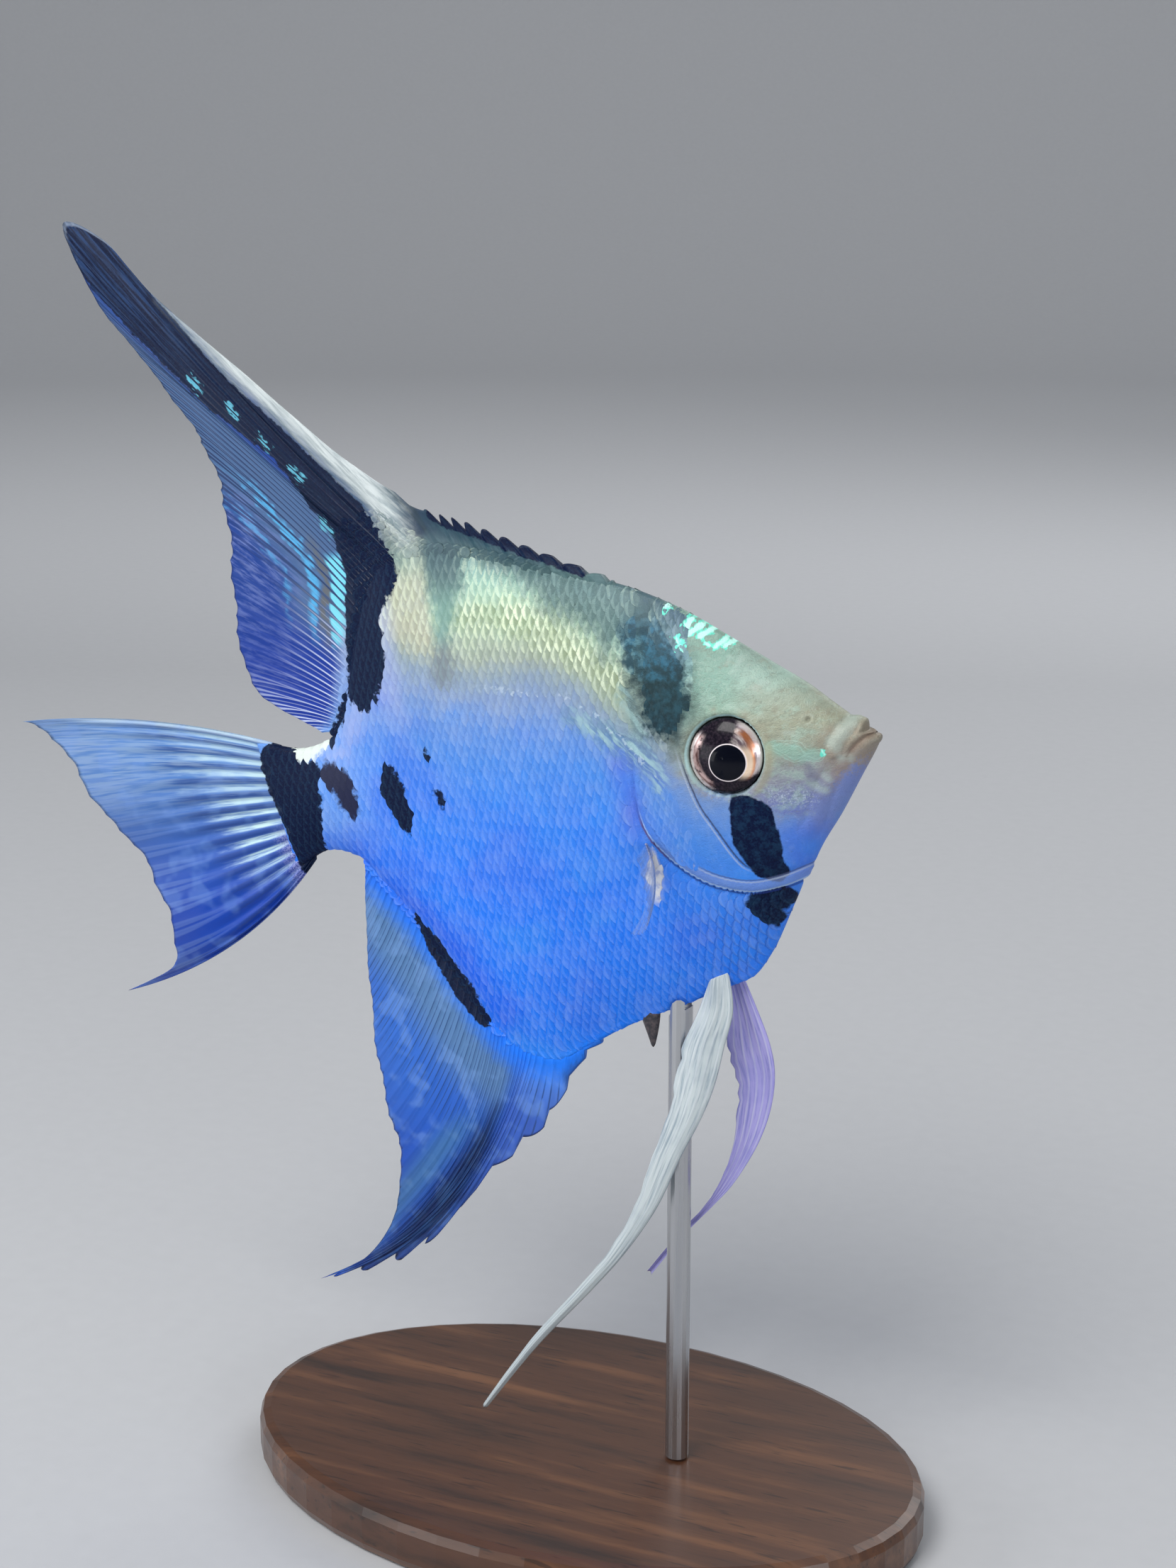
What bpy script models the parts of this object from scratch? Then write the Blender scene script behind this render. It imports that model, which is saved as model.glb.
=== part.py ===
"""A freshwater angelfish (Pterophyllum), silver and blue marble form, as a still life-size model.

The fish swims nose up over an oval base and is held by one rod under its belly. Metres, +Z up,
the nose points to +X, and the origin is the centre of the base's underside.

The fish is drawn in its own side view. A place there is (back, up): the distance behind the tip
of the snout and the height over the body's axis, both in percent of the standard length, which
runs from the snout to the root of the tail fin. `side` is the distance to the fish's left.
"""

import math

import bmesh
import bpy
from mathutils import Vector

# The whole fish
STANDARD_LENGTH = 0.066
NOSE_UP = math.radians(13.0)
AXIS_HEIGHT = 0.0785  # of the body's axis over the floor, at PIVOT
PIVOT = 47.0  # the place on the axis that is over the base's centre
GAP = 0.0003  # between neighbours
ONE = STANDARD_LENGTH / 100.0  # one percent of the standard length

# The stand
BASE_LENGTH = 0.074
BASE_WIDTH = 0.048
BASE_THICKNESS = 0.0055
BASE_EDGE = 0.0012
BASE_SIDES = 48
ROD_RADIUS = 0.0012
ROD_SIDES = 16
ROD_TOP = (38.5, -36.0)  # a place inside the belly, where the rod is cut off by the skin

# The body: upper and lower outline, widest level, half width and sharpness of the ridges
UPPER_LINE = (
    (-0.3, -0.2), (0.5, 1.2), (1.9, 1.9), (3.3, 2.6), (5.8, 4.9), (8.8, 7.9), (14.0, 12.1),
    (19.2, 16.2), (24.6, 20.4), (30.0, 23.8), (34.7, 26.2), (45.0, 30.0), (55.0, 33.6),
    (65.0, 36.2), (72.0, 36.0), (77.0, 31.5), (81.0, 24.3), (83.6, 18.4), (86.0, 12.8),
    (89.0, 9.8), (94.0, 8.8), (100.0, 10.4),
)
LOWER_LINE = (
    (-0.3, -1.8), (0.5, -3.0), (3.4, -6.6), (7.5, -11.7), (12.1, -16.8), (17.2, -23.9),
    (22.7, -31.5), (26.3, -34.7), (29.9, -35.8), (37.5, -37.9), (48.6, -40.8), (55.0, -43.2),
    (61.5, -45.4), (66.0, -44.2), (70.0, -40.6), (74.6, -31.8), (78.0, -25.0), (81.5, -19.4),
    (85.3, -14.0), (88.5, -9.8), (94.0, -8.2), (100.0, -9.9),
)
WIDEST_LEVEL = (
    (-0.3, -0.9), (10.0, -1.6), (20.0, -3.0), (40.0, -6.0), (60.0, -3.5), (80.0, 0.0), (100.0, 0.3),
)
HALF_WIDTH = (
    (-0.3, 0.9), (0.8, 2.0), (3.0, 3.1), (8.0, 4.7), (14.0, 6.0), (21.0, 7.0), (30.0, 7.8),
    (40.0, 8.2), (50.0, 7.9), (60.0, 6.8), (70.0, 5.2), (80.0, 3.7), (88.0, 2.9), (95.0, 2.4),
    (100.0, 1.9),
)
RIDGE_SHARPNESS = (
    (-0.3, 1.0), (10.0, 1.25), (25.0, 1.55), (60.0, 1.7), (80.0, 1.4), (100.0, 1.15),
)
RIDGE_HALF_WIDTH = 0.9
BODY_START, BODY_END = -0.3, 100.0
BODY_STATIONS = 52
HALF_RING = 12  # facets from keel to ridge on one flank
SLANT_FROM, END_SLANT = 90.0, 0.11  # the root of the tail fin leans back at its upper end

# Where the body is parted
GILL_EDGE = (
    (29.5, 34.0), (31.0, 22.0), (32.6, 12.0), (34.2, 4.0), (35.2, -1.5), (35.5, -6.0),
    (35.0, -9.4), (33.6, -12.2), (31.0, -15.6), (27.4, -18.6), (22.3, -20.7), (17.5, -20.9),
    (13.2, -20.2), (9.0, -19.6),
)
JAW_EDGE = ((-4.0, 0.2), (2.0, -0.8), (5.4, -2.4), (6.8, -6.0), (7.6, -12.0), (7.8, -16.0))
STEM_EDGE = ((88.5, 22.0), (86.6, 10.0), (86.0, 0.0), (87.0, -10.0), (88.8, -22.0))

# The eyes
EYE_PLACE = (21.6, -0.6)
EYE_SIDE = 4.7
EYE_RADIUS = 5.85
EYE_HALF_DEPTH = 3.1

# Fins: each row runs along one ray from its root inside the body (back, up) to its tip (back, up),
# and `bow` lifts the ray's middle off the straight line. All in percent of the standard length.
FIN_THICKNESS = 0.0006
DORSAL_RAYS = (
    (36.5, 22.0, 34.2, 26.9, 0.0), (45.0, 26.0, 46.0, 32.3, 0.0), (54.0, 29.5, 56.0, 37.4, 0.0),
    (60.0, 31.0, 63.0, 41.0, 0.0), (62.5, 31.5, 76.7, 52.9, -0.5), (64.0, 31.5, 90.1, 67.1, -1.0),
    (65.5, 31.5, 102.0, 81.6, -1.5), (66.2, 31.4, 108.6, 91.4, -1.8), (67.0, 31.0, 115.4, 95.1, -2.0),
    (68.5, 30.5, 113.2, 84.5, -1.0), (70.0, 29.5, 106.2, 71.6, 1.0), (72.0, 27.5, 100.4, 61.0, 3.0),
    (74.0, 25.0, 97.7, 50.0, 4.0), (76.0, 22.0, 99.9, 36.5, 4.5), (78.5, 18.0, 102.0, 24.0, 4.0),
    (81.0, 13.5, 99.8, 15.6, 2.5), (83.0, 8.5, 90.5, 10.6, 0.8),
)
ANAL_RAYS = (
    (54.0, -37.0, 52.3, -42.3, 0.0), (57.0, -38.0, 58.0, -46.2, 0.0), (60.0, -38.5, 67.0, -56.1, -0.5),
    (62.0, -38.5, 79.8, -64.4, -1.5), (63.5, -38.0, 96.0, -76.4, -3.5), (66.0, -36.5, 115.4, -80.4, -9.0),
    (68.0, -34.0, 105.6, -76.8, -6.0), (69.5, -31.5, 98.2, -69.3, -4.5), (71.5, -28.0, 94.7, -57.5, -3.5),
    (74.0, -23.5, 95.1, -45.5, -3.0), (76.5, -19.0, 93.9, -35.5, -2.5), (79.0, -15.0, 91.8, -25.5, -2.0),
    (82.0, -11.0, 89.8, -16.0, -1.0), (84.0, -8.0, 88.0, -11.4, 0.0),
)
TAIL_RAYS = (
    (98.5, 9.6, 145.9, 19.8, 1.9), (98.0, 7.4, 141.2, 16.0, 1.5), (97.6, 4.6, 137.0, 9.6, 1.0),
    (97.3, 1.4, 133.4, 2.6, 0.4), (97.0, -1.8, 130.0, -3.2, 0.0), (96.8, -4.6, 127.6, -9.6, -0.6),
    (96.6, -6.8, 125.4, -16.0, -1.2), (96.6, -8.2, 127.2, -23.4, -2.2), (96.8, -9.3, 138.3, -27.5, -3.6),
)
# Belly fins: each row runs across the blade, from its front edge to its rear edge
RIGHT_VENTRAL_ROWS = (
    (29.4, -33.0, 33.0, -34.0), (29.8, -38.8, 35.4, -38.4), (32.2, -44.2, 39.2, -43.9),
    (34.9, -50.0, 41.6, -49.4), (38.0, -54.9, 43.9, -54.6), (42.6, -60.8, 47.9, -61.2),
    (48.1, -68.4, 52.7, -69.0), (54.9, -75.4, 58.5, -75.6), (62.0, -81.3, 63.9, -80.4),
    (74.0, -90.6, 75.1, -89.6), (85.6, -100.9, 86.2, -100.3),
)
LEFT_VENTRAL_ROWS = (
    (28.8, -33.5, 31.9, -34.2), (27.5, -40.3, 32.8, -41.0), (26.8, -46.0, 34.0, -46.4),
    (27.3, -51.0, 33.9, -52.0), (29.4, -56.5, 35.4, -57.5), (32.9, -62.0, 37.5, -63.0),
    (38.1, -67.8, 41.0, -68.2), (42.6, -71.5, 44.6, -71.9), (48.6, -76.1, 49.8, -76.0),
    (55.9, -82.6, 56.5, -82.0),
)
VENTRAL_SIDE = (1.6, 3.0, 3.9, 4.6)  # from root to tip
# Breast fins: rays fan out from a short root behind the gill edge
PECTORAL_ROOT = (36.1, -12.8)
PECTORAL_SIDE = 6.3
PECTORAL_LEAN = (0.447, 0.845, -0.291)  # forward, outward and up, for the fan's middle
PECTORAL_HALF_ROOT = 1.7
PECTORAL_SPREAD = math.radians(24.0)
PECTORAL_LENGTH = 20.0
PECTORAL_RAYS = 9

VENT_PLACE = (44.3, -37.6)
VENT_LENGTH = 6.6
VENT_RADIUS = 1.9

SKIN_SILVER = (0.62, 0.66, 0.60)
SKIN_BLUE = (0.20, 0.36, 0.80)
FIN_BLUE = (0.30, 0.42, 0.62)
VENTRAL_PALE = (0.62, 0.68, 0.68)
MARK_BLACK = (0.015, 0.020, 0.035)
EYE_BLACK = (0.010, 0.010, 0.012)
BASE_WOOD = (0.10, 0.055, 0.030)
ROD_STEEL = (0.62, 0.62, 0.62)


def material(name, colour, roughness, metallic=0.0):
    finish = bpy.data.materials.new(name)
    finish.use_nodes = True
    shader = finish.node_tree.nodes["Principled BSDF"]
    shader.inputs["Base Color"].default_value = (*colour, 1.0)
    shader.inputs["Roughness"].default_value = roughness
    shader.inputs["Metallic"].default_value = metallic
    return finish


def collection(name):
    group = bpy.data.collections.new(name)
    bpy.context.scene.collection.children.link(group)
    return group


def place(back, up, side=0.0):
    """A point of the fish, in metres in the fish's own frame."""
    return Vector(((PIVOT - back) * ONE, side * ONE, up * ONE))


def smooth(points, x):
    """The value at x of a smooth curve through (x, value) points, with no overshoot."""
    last = len(points) - 2
    i = next((k for k in range(last) if x < points[k + 1][0]), last)
    slopes = [(b[1] - a[1]) / (b[0] - a[0]) for a, b in zip(points, points[1:])]

    def tangent(k):
        if k in (0, len(points) - 1):
            return slopes[min(k, last)]
        before, after = slopes[k - 1], slopes[k]
        return 2.0 * before * after / (before + after) if before * after > 0 else 0.0

    (x0, y0), (x1, y1) = points[i], points[i + 1]
    t = min(max((x - x0) / (x1 - x0), 0.0), 1.0)
    rise, span = t * t * (3.0 - 2.0 * t), x1 - x0
    bend = t * (1.0 - t) * ((1.0 - t) * tangent(i) - t * tangent(i + 1))
    return y0 + (y1 - y0) * rise + span * bend


def through(points, count):
    """`count` points on a round curve (Catmull-Rom) through the given points of any dimension."""
    found = []
    for n in range(count):
        x = n * (len(points) - 1) / (count - 1)
        i = min(int(x), len(points) - 2)
        t = x - i
        a, b, c, d = (points[min(max(k, 0), len(points) - 1)] for k in range(i - 1, i + 3))
        found.append(tuple(
            q + 0.5 * t * (r - p + t * (2 * p - 5 * q + 4 * r - s + t * (3 * (q - r) + s - p)))
            for p, q, r, s in zip(a, b, c, d)
        ))
    return found


class Model:
    """The collections and the frame that every piece of the fish belongs to."""

    def __init__(self):
        self.parts = collection("freshwater_angelfish")
        self.cutters = collection("cutters")
        self.frame = bpy.data.objects.new("fish_frame", None)
        self.frame.location = (0.0, 0.0, AXIS_HEIGHT)
        self.frame.rotation_euler = (0.0, -NOSE_UP, 0.0)
        self.parts.objects.link(self.frame)

    def add(self, name, bm, finish, on_fish=True):
        """A part made from a bmesh, which it frees."""
        bmesh.ops.recalc_face_normals(bm, faces=bm.faces)
        mesh = bpy.data.meshes.new(name)
        bm.to_mesh(mesh)
        bm.free()
        mesh.shade_smooth()
        mesh.set_sharp_from_angle(angle=math.radians(40.0))
        piece = bpy.data.objects.new(name, mesh)
        if finish:
            mesh.materials.append(finish)
            self.parts.objects.link(piece)
        else:
            self.cutters.objects.link(piece)
            piece.hide_render = True
            piece.display_type = "WIRE"
        if on_fish:
            piece.parent = self.frame
        return piece

    def cutter(self, name, bm):
        return self.add(name, bm, None)


def boolean(piece, cutter, operation="DIFFERENCE"):
    modifier = piece.modifiers.new(f"{operation.lower()}_{cutter.name}", "BOOLEAN")
    modifier.object = cutter
    modifier.operation = operation
    modifier.solver = "EXACT"


def ring(back, grow):
    """One cross-section of the body, widened all round by `grow`, counted from the keel up the
    right flank and down the left."""
    top = smooth(UPPER_LINE, back) + grow
    bottom = smooth(LOWER_LINE, back) - grow
    level = smooth(WIDEST_LEVEL, back)
    half = smooth(HALF_WIDTH, back)
    sharp = smooth(RIDGE_SHARPNESS, back)
    slant = END_SLANT * max(0.0, back - SLANT_FROM) / (BODY_END - SLANT_FROM)
    flank = []
    for step in range(HALF_RING + 1):
        turn = math.pi * (step / HALF_RING - 0.5)
        reach = top - level if turn > 0 else level - bottom
        up = level + reach * math.sin(turn)
        width = max(half * max(math.cos(turn), 0.0) ** sharp, min(RIDGE_HALF_WIDTH, 0.6 * half))
        flank.append((back + slant * up, up, width + grow))
    right = [place(b, u, -w) for b, u, w in flank]
    left = [place(b, u, w) for b, u, w in reversed(flank)]
    return right + left


def body_bmesh(grow=0.0):
    """The whole body with no fins, or that body grown by `grow` percent on every side."""
    bm = bmesh.new()
    stations = []
    for step in range(BODY_STATIONS + 1):
        t = (step / BODY_STATIONS) ** 1.15  # closer together at the snout
        stations.append(BODY_START + (BODY_END - BODY_START) * t)
    rings = [ring(back, grow) for back in stations]
    shift = Vector((grow * ONE, 0.0, 0.0))
    rings[0] = [point + shift for point in rings[0]]
    rings[-1] = [point - shift for point in rings[-1]]
    rings = [[bm.verts.new(point) for point in points] for points in rings]
    for first, second in zip(rings, rings[1:]):
        for i in range(len(first)):
            j = (i + 1) % len(first)
            bm.faces.new((first[i], first[j], second[j], second[i]))
    bm.faces.new(rings[0])
    bm.faces.new(rings[-1])
    return bm


def prism_bmesh(outline, half_width):
    """A flat side-view outline, extruded through the fish from flank to flank."""
    bm = bmesh.new()
    face = bm.faces.new([bm.verts.new(place(b, u, -half_width)) for b, u in outline])
    made = bmesh.ops.extrude_face_region(bm, geom=[face])["geom"]
    moved = [item for item in made if isinstance(item, bmesh.types.BMVert)]
    bmesh.ops.translate(bm, verts=moved, vec=Vector((0.0, 2.0 * half_width * ONE, 0.0)))
    return bm


def offset(edge, distance):
    """The edge line moved sideways, to the right of its own direction."""
    moved = []
    for i, (back, up) in enumerate(edge):
        before, after = edge[max(i - 1, 0)], edge[min(i + 1, len(edge) - 1)]
        along = Vector((after[0] - before[0], after[1] - before[1])).normalized()
        moved.append((back - along.y * distance, up + along.x * distance))
    return moved


def add_body(model, gap):
    """Head, lower jaw, trunk and tail stem: one body, parted by thin cuts."""
    ahead = ((-12.0, -19.6), (-12.0, 34.0))
    below = ((-4.0, -16.0),)
    behind = ((112.0, -22.0), (112.0, 22.0))
    gill = through(GILL_EDGE, 30)
    regions = {
        "head": prism_bmesh((*gill, *ahead), 14.0),
        "head_and_gap": prism_bmesh((*offset(gill, gap), *ahead), 14.5),
        "jaw": prism_bmesh((*JAW_EDGE, *below), 14.0),
        "jaw_and_gap": prism_bmesh((*offset(JAW_EDGE, gap), *below), 14.5),
        "stem": prism_bmesh((*STEM_EDGE, *behind), 14.0),
        "stem_and_gap": prism_bmesh((*offset(STEM_EDGE, -gap), *behind), 14.5),
    }
    cutters = {name: model.cutter(f"cut_{name}", bm) for name, bm in regions.items()}
    silver = material("silver_skin", SKIN_SILVER, 0.35)
    blue = material("blue_skin", SKIN_BLUE, 0.35)
    head = model.add("head", body_bmesh(), silver)
    boolean(head, cutters["head"], "INTERSECT")
    boolean(head, cutters["jaw_and_gap"])
    jaw = model.add("lower_jaw", body_bmesh(), silver)
    boolean(jaw, cutters["jaw"], "INTERSECT")
    trunk = model.add("trunk", body_bmesh(), blue)
    boolean(trunk, cutters["head_and_gap"])
    boolean(trunk, cutters["stem_and_gap"])
    stem = model.add("tail_stem", body_bmesh(), blue)
    boolean(stem, cutters["stem"], "INTERSECT")
    return head


def eye_bmesh(side, grow):
    bm = bmesh.new()
    bmesh.ops.create_uvsphere(bm, u_segments=20, v_segments=12, radius=1.0)
    size = Vector((EYE_RADIUS + grow, EYE_HALF_DEPTH + grow, EYE_RADIUS + grow)) * ONE
    bmesh.ops.scale(bm, vec=size, verts=bm.verts)
    bmesh.ops.translate(bm, vec=place(*EYE_PLACE, side * EYE_SIDE), verts=bm.verts)
    return bm


def add_eyes(model, head, gap):
    glossy = material("eye", EYE_BLACK, 0.05)
    for name, side in (("left", 1.0), ("right", -1.0)):
        model.add(f"eye_{name}", eye_bmesh(side, 0.0), glossy)
        boolean(head, model.cutter(f"socket_{name}", eye_bmesh(side, gap)))


def sheet_bmesh(rows):
    """An open sheet through rows of points that all have the same length."""
    bm = bmesh.new()
    rows = [[bm.verts.new(point) for point in row] for row in rows]
    for first, second in zip(rows, rows[1:]):
        for i in range(len(first) - 1):
            bm.faces.new((first[i], first[i + 1], second[i + 1], second[i]))
    return bm


def add_fin(model, name, rows, finish, body_clearance):
    """A fin: a sheet given its thickness, and cut off where it meets the skin."""
    fin = model.add(name, sheet_bmesh(rows), finish)
    shell = fin.modifiers.new("thickness", "SOLIDIFY")
    shell.thickness = FIN_THICKNESS
    shell.offset = 0.0
    boolean(fin, body_clearance)
    return fin


def ray_rows(rays, count, steps, side_at):
    """Rows of points along the fin's rays; side_at(ray, out) gives how far each is off the plane."""
    rows = []
    for n, (back, up, tip_back, tip_up, bow) in enumerate(through(rays, count)):
        along = Vector((tip_back - back, tip_up - up))
        lift = Vector((-along.y, along.x)).normalized() * bow
        row = []
        for step in range(steps + 1):
            out = step / steps
            point = Vector((back, up)) + along * out + lift * 4.0 * out * (1.0 - out)
            row.append(place(point.x, point.y, side_at(n / (count - 1), out)))
        rows.append(row)
    return rows


def add_middle_fins(model, body_clearance):
    membrane = material("fin_membrane", FIN_BLUE, 0.3)

    def dorsal_side(ray, out):
        return -1.6 * out * out * math.sin(math.pi * ray)

    def anal_side(ray, out):
        return 1.4 * out * out * math.sin(math.pi * ray)

    def tail_side(ray, out):
        return 0.9 * out * math.sin(4.5 * math.pi * ray) - 2.0 * out * out

    fins = (
        ("dorsal_fin", DORSAL_RAYS, 37, 8, dorsal_side),
        ("anal_fin", ANAL_RAYS, 31, 8, anal_side),
        ("caudal_fin", TAIL_RAYS, 29, 8, tail_side),
    )
    for name, rays, count, steps, side_at in fins:
        add_fin(model, name, ray_rows(rays, count, steps, side_at), membrane, body_clearance)


def add_ventral_fins(model, body_clearance):
    """The two long belly fins, each a narrow blade that ends in a thread."""
    pale = material("ventral_fin", VENTRAL_PALE, 0.3)
    sides = (("right", RIGHT_VENTRAL_ROWS, -1.0), ("left", LEFT_VENTRAL_ROWS, 1.0))
    count = 27
    offs = [value for (value,) in through([(side,) for side in VENTRAL_SIDE], count)]
    for name, blade, sign in sides:
        rows = []
        for off, (back, up, rear_back, rear_up) in zip(offs, through(blade, count)):
            middle_back, middle_up = (back + rear_back) / 2.0, (up + rear_up) / 2.0
            rows.append([
                place(back, up, sign * (off - 0.3)),
                place(middle_back, middle_up, sign * (off + 0.3)),
                place(rear_back, rear_up, sign * (off - 0.3)),
            ])
        add_fin(model, f"ventral_fin_{name}", rows, pale, body_clearance)


def add_pectoral_fins(model, body_clearance):
    """The breast fins, spread outward and a little forward as the fish hovers."""
    clear = material("pectoral_fin", FIN_BLUE, 0.2)
    forward, outward, rise = PECTORAL_LEAN
    for name, sign in (("right", -1.0), ("left", 1.0)):
        out = Vector((forward, sign * outward, rise)).normalized()
        across = (Vector((0.0, 0.0, 1.0)) - out * out.z).normalized()
        root = place(*PECTORAL_ROOT, sign * PECTORAL_SIDE)
        rows = []
        for ray in range(PECTORAL_RAYS):
            spread = 1.0 - 2.0 * ray / (PECTORAL_RAYS - 1)
            angle = spread * PECTORAL_SPREAD
            length = PECTORAL_LENGTH * (1.0 + 0.35 * spread) * math.cos(0.9 * angle)
            start = root + across * (spread * PECTORAL_HALF_ROOT * ONE)
            aim = out * math.cos(angle) + across * math.sin(angle)
            rows.append([start + aim * (length * ONE * step / 6) for step in range(7)])
        add_fin(model, f"pectoral_fin_{name}", rows, clear, body_clearance)


def add_vent(model, body_clearance):
    """The dark pointed flap of the vent, in front of the anal fin."""
    bm = bmesh.new()
    bmesh.ops.create_cone(
        bm, cap_ends=True, segments=14, radius1=0.25 * ONE, radius2=VENT_RADIUS * ONE,
        depth=VENT_LENGTH * ONE,
    )
    bmesh.ops.scale(bm, vec=(1.0, 0.55, 1.0), verts=bm.verts)
    back, up = VENT_PLACE
    bmesh.ops.translate(bm, vec=place(back, up - VENT_LENGTH / 2.0), verts=bm.verts)
    vent = model.add("vent_papilla", bm, material("dark_skin", MARK_BLACK, 0.4))
    boolean(vent, body_clearance)


def add_stand(model, body_clearance):
    bm = bmesh.new()
    bmesh.ops.create_cone(
        bm, cap_ends=True, segments=BASE_SIDES, radius1=BASE_LENGTH / 2.0,
        radius2=BASE_LENGTH / 2.0, depth=BASE_THICKNESS,
    )
    bmesh.ops.scale(bm, vec=(1.0, BASE_WIDTH / BASE_LENGTH, 1.0), verts=bm.verts)
    bmesh.ops.translate(bm, vec=(0.0, 0.0, BASE_THICKNESS / 2.0), verts=bm.verts)
    base = model.add("stand_base", bm, material("stand_wood", BASE_WOOD, 0.35), on_fish=False)
    edge = base.modifiers.new("edge", "BEVEL")
    edge.width = BASE_EDGE
    edge.segments = 2
    edge.limit_method = "ANGLE"

    top = model.frame.rotation_euler.to_matrix() @ place(*ROD_TOP)
    foot = BASE_THICKNESS + GAP
    length = AXIS_HEIGHT + top.z - foot
    bm = bmesh.new()
    bmesh.ops.create_cone(
        bm, cap_ends=True, segments=ROD_SIDES, radius1=ROD_RADIUS, radius2=ROD_RADIUS, depth=length,
    )
    bmesh.ops.translate(bm, vec=(top.x, 0.0, foot + length / 2.0), verts=bm.verts)
    rod = model.add("stand_rod", bm, material("stand_steel", ROD_STEEL, 0.3, 1.0), on_fish=False)
    boolean(rod, body_clearance)


def main():
    for thing in list(bpy.data.objects):
        bpy.data.objects.remove(thing, do_unlink=True)
    gap = GAP / ONE
    model = Model()
    head = add_body(model, gap)
    add_eyes(model, head, gap)
    body_clearance = model.cutter("body_clearance", body_bmesh(gap))
    add_middle_fins(model, body_clearance)
    add_ventral_fins(model, body_clearance)
    add_pectoral_fins(model, body_clearance)
    add_vent(model, body_clearance)
    add_stand(model, body_clearance)


main()
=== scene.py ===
"""The looks of the freshwater angelfish: skin, scales, eyes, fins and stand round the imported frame.

The fish is drawn as in its solids: a place is (back, up, side), in percent of the standard length.
`back` counts from the tip of the snout, `up` from the body's axis and `side` from the mid-plane.
"""

import math

import bpy
import numpy as np
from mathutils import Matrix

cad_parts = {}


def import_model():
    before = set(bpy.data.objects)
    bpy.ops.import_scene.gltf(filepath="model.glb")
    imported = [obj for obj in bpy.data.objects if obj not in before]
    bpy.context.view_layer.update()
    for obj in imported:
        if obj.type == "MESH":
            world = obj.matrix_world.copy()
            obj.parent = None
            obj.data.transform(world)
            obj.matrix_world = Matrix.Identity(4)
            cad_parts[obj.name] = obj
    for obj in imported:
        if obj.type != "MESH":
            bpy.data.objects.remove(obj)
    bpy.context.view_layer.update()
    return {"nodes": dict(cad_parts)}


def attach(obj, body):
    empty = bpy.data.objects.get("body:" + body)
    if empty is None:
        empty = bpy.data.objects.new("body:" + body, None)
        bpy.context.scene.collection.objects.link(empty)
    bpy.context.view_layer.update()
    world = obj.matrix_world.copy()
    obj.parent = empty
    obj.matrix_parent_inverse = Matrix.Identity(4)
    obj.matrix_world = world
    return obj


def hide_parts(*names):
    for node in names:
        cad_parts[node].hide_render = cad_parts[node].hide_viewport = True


# The fish's frame, as in the solids
STANDARD_LENGTH = 0.066
NOSE_UP = math.radians(13.0)
AXIS_HEIGHT = 0.0785
PIVOT = 47.0
ONE = STANDARD_LENGTH / 100.0

# The body's lines, as in the solids
UPPER_LINE = (
    (-0.3, -0.2), (0.5, 1.2), (1.9, 1.9), (3.3, 2.6), (5.8, 4.9), (8.8, 7.9), (14.0, 12.1),
    (19.2, 16.2), (24.6, 20.4), (30.0, 23.8), (34.7, 26.2), (45.0, 30.0), (55.0, 33.6),
    (65.0, 36.2), (72.0, 36.0), (77.0, 31.5), (81.0, 24.3), (83.6, 18.4), (86.0, 12.8),
    (89.0, 9.8), (94.0, 8.8), (100.0, 10.4),
)
LOWER_LINE = (
    (-0.3, -1.8), (0.5, -3.0), (3.4, -6.6), (7.5, -11.7), (12.1, -16.8), (17.2, -23.9),
    (22.7, -31.5), (26.3, -34.7), (29.9, -35.8), (37.5, -37.9), (48.6, -40.8), (55.0, -43.2),
    (61.5, -45.4), (66.0, -44.2), (70.0, -40.6), (74.6, -31.8), (78.0, -25.0), (81.5, -19.4),
    (85.3, -14.0), (88.5, -9.8), (94.0, -8.2), (100.0, -9.9),
)
WIDEST_LEVEL = (
    (-0.3, -0.9), (10.0, -1.6), (20.0, -3.0), (40.0, -6.0), (60.0, -3.5), (80.0, 0.0), (100.0, 0.3),
)
HALF_WIDTH = (
    (-0.3, 0.9), (0.8, 2.0), (3.0, 3.1), (8.0, 4.7), (14.0, 6.0), (21.0, 7.0), (30.0, 7.8),
    (40.0, 8.2), (50.0, 7.9), (60.0, 6.8), (70.0, 5.2), (80.0, 3.7), (88.0, 2.9), (95.0, 2.4),
    (100.0, 1.9),
)
RIDGE_SHARPNESS = (
    (-0.3, 1.0), (10.0, 1.25), (25.0, 1.55), (60.0, 1.7), (80.0, 1.4), (100.0, 1.15),
)
BODY_START, BODY_END = -0.1, 100.0
SLANT_FROM, END_SLANT = 90.0, 0.11
COAT = 0.2  # the skin lies this far inside the solids
RIDGE_RADIUS = 0.7

# The skin's mesh
STATIONS = 380
HALF_RING = 110
NOSE_RINGS = 9
NOSE_BULGE = 0.3
TAIL_RINGS = 12
TAIL_REACH = 1.8  # the flesh runs this far over the root of the tail fin
STATION_POWER = 1.6

# The head's relief
GILL_EDGE = (
    (31.0, 22.0), (32.6, 12.0), (34.2, 4.0), (35.2, -1.5), (35.5, -6.0), (35.0, -9.4),
    (33.6, -12.2), (31.0, -15.6), (27.4, -18.6), (22.3, -20.7), (17.5, -20.9), (13.2, -20.2),
    (9.0, -19.6),
)
CHEEK_EDGE = (
    (27.6, 3.0), (26.9, -1.6), (25.9, -6.4), (24.3, -10.2), (22.4, -14.7), (20.8, -16.9), (17.0, -18.4),
    (12.5, -17.6),
)
MOUTH_LINE = ((-2.0, -0.4), (0.4, -0.45), (1.2, -0.7), (2.4, -1.4), (3.4, -2.2), (4.0, -2.9))
UPPER_JAW_LINE = ((1.6, 2.0), (2.9, 1.4), (4.4, 0.0), (5.4, -1.8), (5.5, -2.8))
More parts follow.
